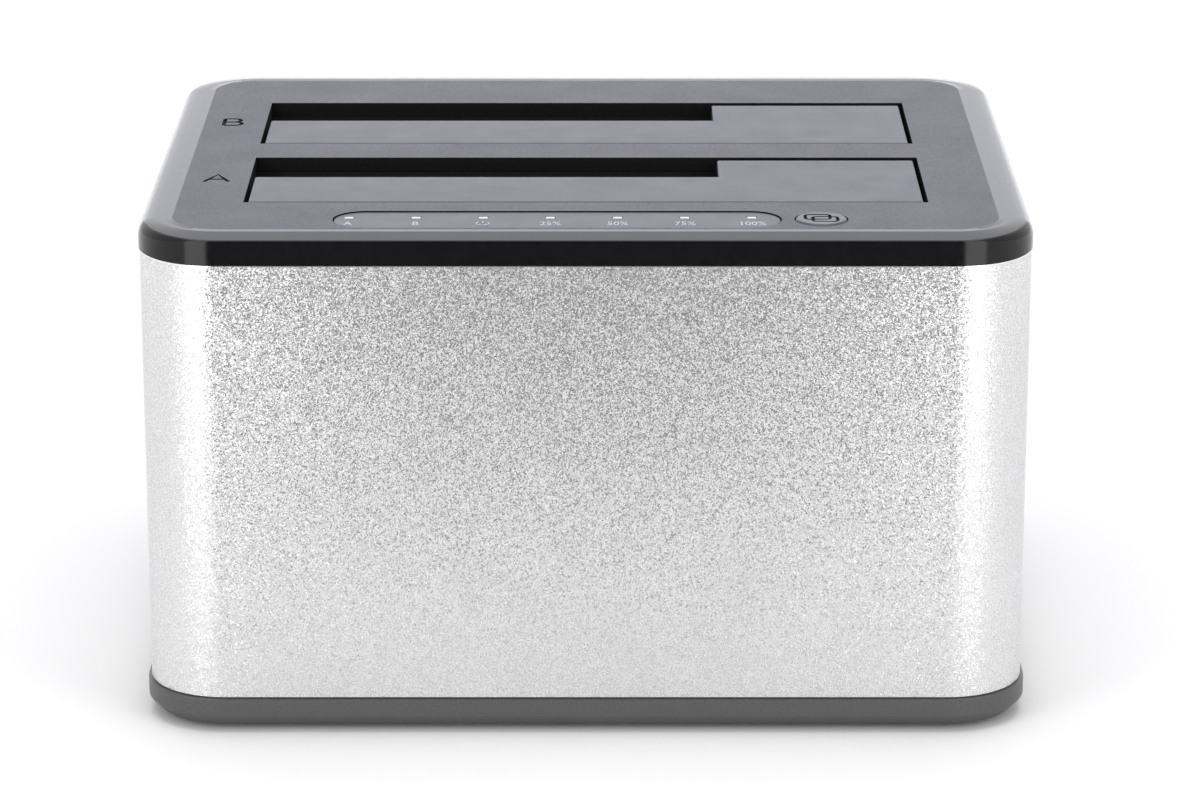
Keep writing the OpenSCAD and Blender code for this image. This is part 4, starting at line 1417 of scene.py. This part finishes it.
@dataclass
class Fasteners(SubAssembly):
    """The drive cage and the screws that hold the case together."""

    head_edge: float = 0.15 * MM
    head_share: float = 0.8
    recess_long: float = 0.62
    recess_wide: float = 0.17
    recess_deep: float = 0.5 * MM

    def recess(self, piece: bpy.types.Object, middle: Vector, radius: float) -> None:
        """Cut a cross recess into one screw head.

        Args:
            piece: The screws.
            middle: The middle of the head's end.
            radius: The head's radius.
        """
        reach = Vector((self.recess_long * radius, self.recess_wide * radius, self.recess_deep))
        for half in (reach, Vector((reach.y, reach.x, reach.z))):
            self.bench.cut(piece, self.bench.block("recess", middle - half, middle + half))

    def screws(self, node: str) -> None:
        """Make one set of screws, each with a cross recess.

        Args:
            node: The CAD node of the set.
        """
        piece = self.start(node, f"zinc_{node}", Finishes.SCREW)
        ends = [face for face in piece.data.polygons
                if Facing.UP.holds(face.normal) or Facing.DOWN.holds(face.normal)]
        least = self.head_share * max(face.area for face in ends)
        heads = [(face.center.copy(), math.sqrt(face.area / math.pi)) for face in ends if face.area > least]
        self.bench.soften(piece, self.head_edge)
        for middle, radius in heads:
            self.recess(piece, middle, radius)
        self.bench.smooth(piece)
        self.fit(piece, node, "screw_steel")

    def build(self) -> None:
        """Make the cage and every set of screws."""
        self.plain("drive_cage", "cage_moulding", Finishes.CAGE, 0.15, "cage_plastic")
        for node in ("cage_screws", "case_screws", "board_screws", "led_board_screws"):
            self.screws(node)


@dataclass(frozen=True)
class Lamp:
    """A softbox that the camera doesn't see. A face as bright as white paper has level 1."""

    name: str
    at: Colour
    aim: Colour
    size: Pair
    level: float
    colour: Colour = (1, 1, 1)

    def hang(self) -> None:
        """Hang the lamp and turn it to what it faces."""
        data = bpy.data.lights.new(self.name, "AREA")
        data.color = self.colour
        data.shape = "RECTANGLE"
        data.size, data.size_y = self.size
        data.energy = math.pi * self.size[0] * self.size[1] * self.level
        lamp = bpy.data.objects.new(self.name, data)
        lamp.location = self.at
        way = Vector(self.aim) - Vector(self.at)
        lamp.rotation_euler = way.to_track_quat("-Z", "Y").to_euler()
        lamp.visible_camera = False
        bpy.context.scene.collection.objects.link(lamp)


@dataclass
class Studio:
    """Camera, floor and soft light, in metres."""

    lens: float = 139.76
    sensor: float = 36
    sight: Pair = (0.05, 60)
    camera_at: Colour = (2.157 * MM, -717.82 * MM, 255.74 * MM)
    tilt: float = 73.02
    room_level: float = 0.5
    floor_size: float = 12.0
    floor_tone: Colour = (0.92, 0.92, 0.925)
    floor_glow: float = 0.02
    far_glow: float = 0.6
    floor_fade: Pair = (0.24, 0.6)
    card_away: float = 0.235
    card_size: Pair = (0.2, 0.35)
    card_tone: Colour = (0.22, 0.22, 0.22)
    lamps: tuple[Lamp, ...] = (
        Lamp("left_box", (-0.17, -0.24, 0.2), (-0.06, -0.05, 0.2), (0.12, 0.4), 1.95),
        Lamp("right_box", (0.17, -0.24, 0.2), (0.06, -0.05, 0.2), (0.12, 0.4), 1.95),
        Lamp("back_box", (0, 0.85, 0.35), (0, 0, 0.04), (0.8, 0.7), 0.76, (0.94, 0.96, 1.12)),
        Lamp("top_box", (0, 0.1, 1.1), (0, 0, 0.04), (1.0, 1.0), 2.2),
    )

    def camera(self) -> None:
        """Place the camera at the photograph's viewing angle."""
        data = bpy.data.cameras.new("view")
        data.lens = self.lens
        data.sensor_width = self.sensor
        data.clip_start, data.clip_end = self.sight
        camera = bpy.data.objects.new("view", data)
        camera.location = self.camera_at
        camera.rotation_euler = (math.radians(self.tilt), 0, 0)
        bpy.context.scene.collection.objects.link(camera)
        bpy.context.scene.camera = camera

    @staticmethod
    def seen(recipe: Recipe) -> Wire:
        """Return 1 for rays from the camera, a mirror or glass, and 0 for the rest."""
        rays = [recipe.node("ShaderNodeLightPath", {}, {}, f"Is {kind} Ray")
                for kind in ("Camera", "Glossy", "Transmission")]
        return rays[0].greater(rays[1].greater(rays[2]))

    def world(self) -> None:
        """Fill the surroundings with white for the eye and a plain level of light."""
        world = bpy.data.worlds.new("white room")
        bpy.context.scene.world = world
        recipe = Recipe(world)
        level = self.room_level + (1 - self.room_level) * self.seen(recipe)
        recipe.surface({"Color": (1.0, 1.0, 1.0), "Strength": level})

    @staticmethod
    def sheet(name: str, material: bpy.types.Material, **place: object) -> bpy.types.Object:
        """Lay a flat sheet that isn't part of the object.

        Args:
            name: The sheet's name.
            material: What it is made of.
            place: The settings of Blender's plane.

        Returns:
            The sheet.
        """
        bpy.ops.object.select_all(action="DESELECT")
        bpy.ops.mesh.primitive_plane_add(**place)
        sheet = bpy.context.object
        sheet.name = name
        sheet.data.materials.append(material)
        return sheet

    def floor(self) -> None:
        """Lay the pale floor, which stays white round the object's shadow."""
        material = bpy.data.materials.new("pale floor")
        recipe = Recipe(material)
        recipe.surface({"Base Color": self.floor_tone, "Roughness": 0.9, "Specular IOR Level": 0.1})
        away = recipe.vector("LENGTH", {0: recipe.place()}, "Value")
        level = self.floor_glow + recipe.spread(away, *self.floor_fade) * self.far_glow
        glow = recipe.node("ShaderNodeEmission", {}, {"Color": (1, 1, 1, 1), "Strength": level})
        plain = Wire(recipe, recipe.shader.outputs[0])
        both = recipe.node("ShaderNodeAddShader", {}, {0: plain, 1: glow})
        mixed = recipe.node("ShaderNodeMixShader", {}, {0: self.seen(recipe), 1: plain, 2: both})
        recipe.feed(recipe.tree.nodes["Material Output"].inputs["Surface"], mixed)
        self.sheet("pale_floor", material, size=self.floor_size)

    def card(self) -> None:
        """Stand a dark card in front, which gives the metal its darker middle, as in a studio."""
        material = bpy.data.materials.new("dark card")
        Recipe(material).surface({"Base Color": self.card_tone, "Roughness": 0.9})
        at = (0, -self.card_away, self.card_size[1] / 2)
        card = self.sheet("dark_card", material, size=1, location=at, rotation=(math.pi / 2, 0, 0))
        card.scale = (*self.card_size, 1)
        for ray in ("camera", "diffuse", "shadow", "transmission"):
            setattr(card, f"visible_{ray}", False)

    def build(self) -> None:
        """Set up the camera, surroundings, floor, card and lamps."""
        bpy.context.scene.view_settings.view_transform = "Standard"
        self.camera()
        self.world()
        self.floor()
        self.card()
        for lamp in self.lamps:
            lamp.hang()


def main() -> None:
    """Build the studio and every sub-assembly in order."""
    logging.basicConfig(level=logging.INFO, format="%(name)s: %(message)s")
    Studio().build()
    bench = Bench()
    for kind in (Shell, Flaps, IndicatorPanel, CloneButton, Boards, RearPorts, Fasteners):
        log.info("building %s", kind.__name__)
        kind(bench).build()


if __name__ == "__main__":
    main()
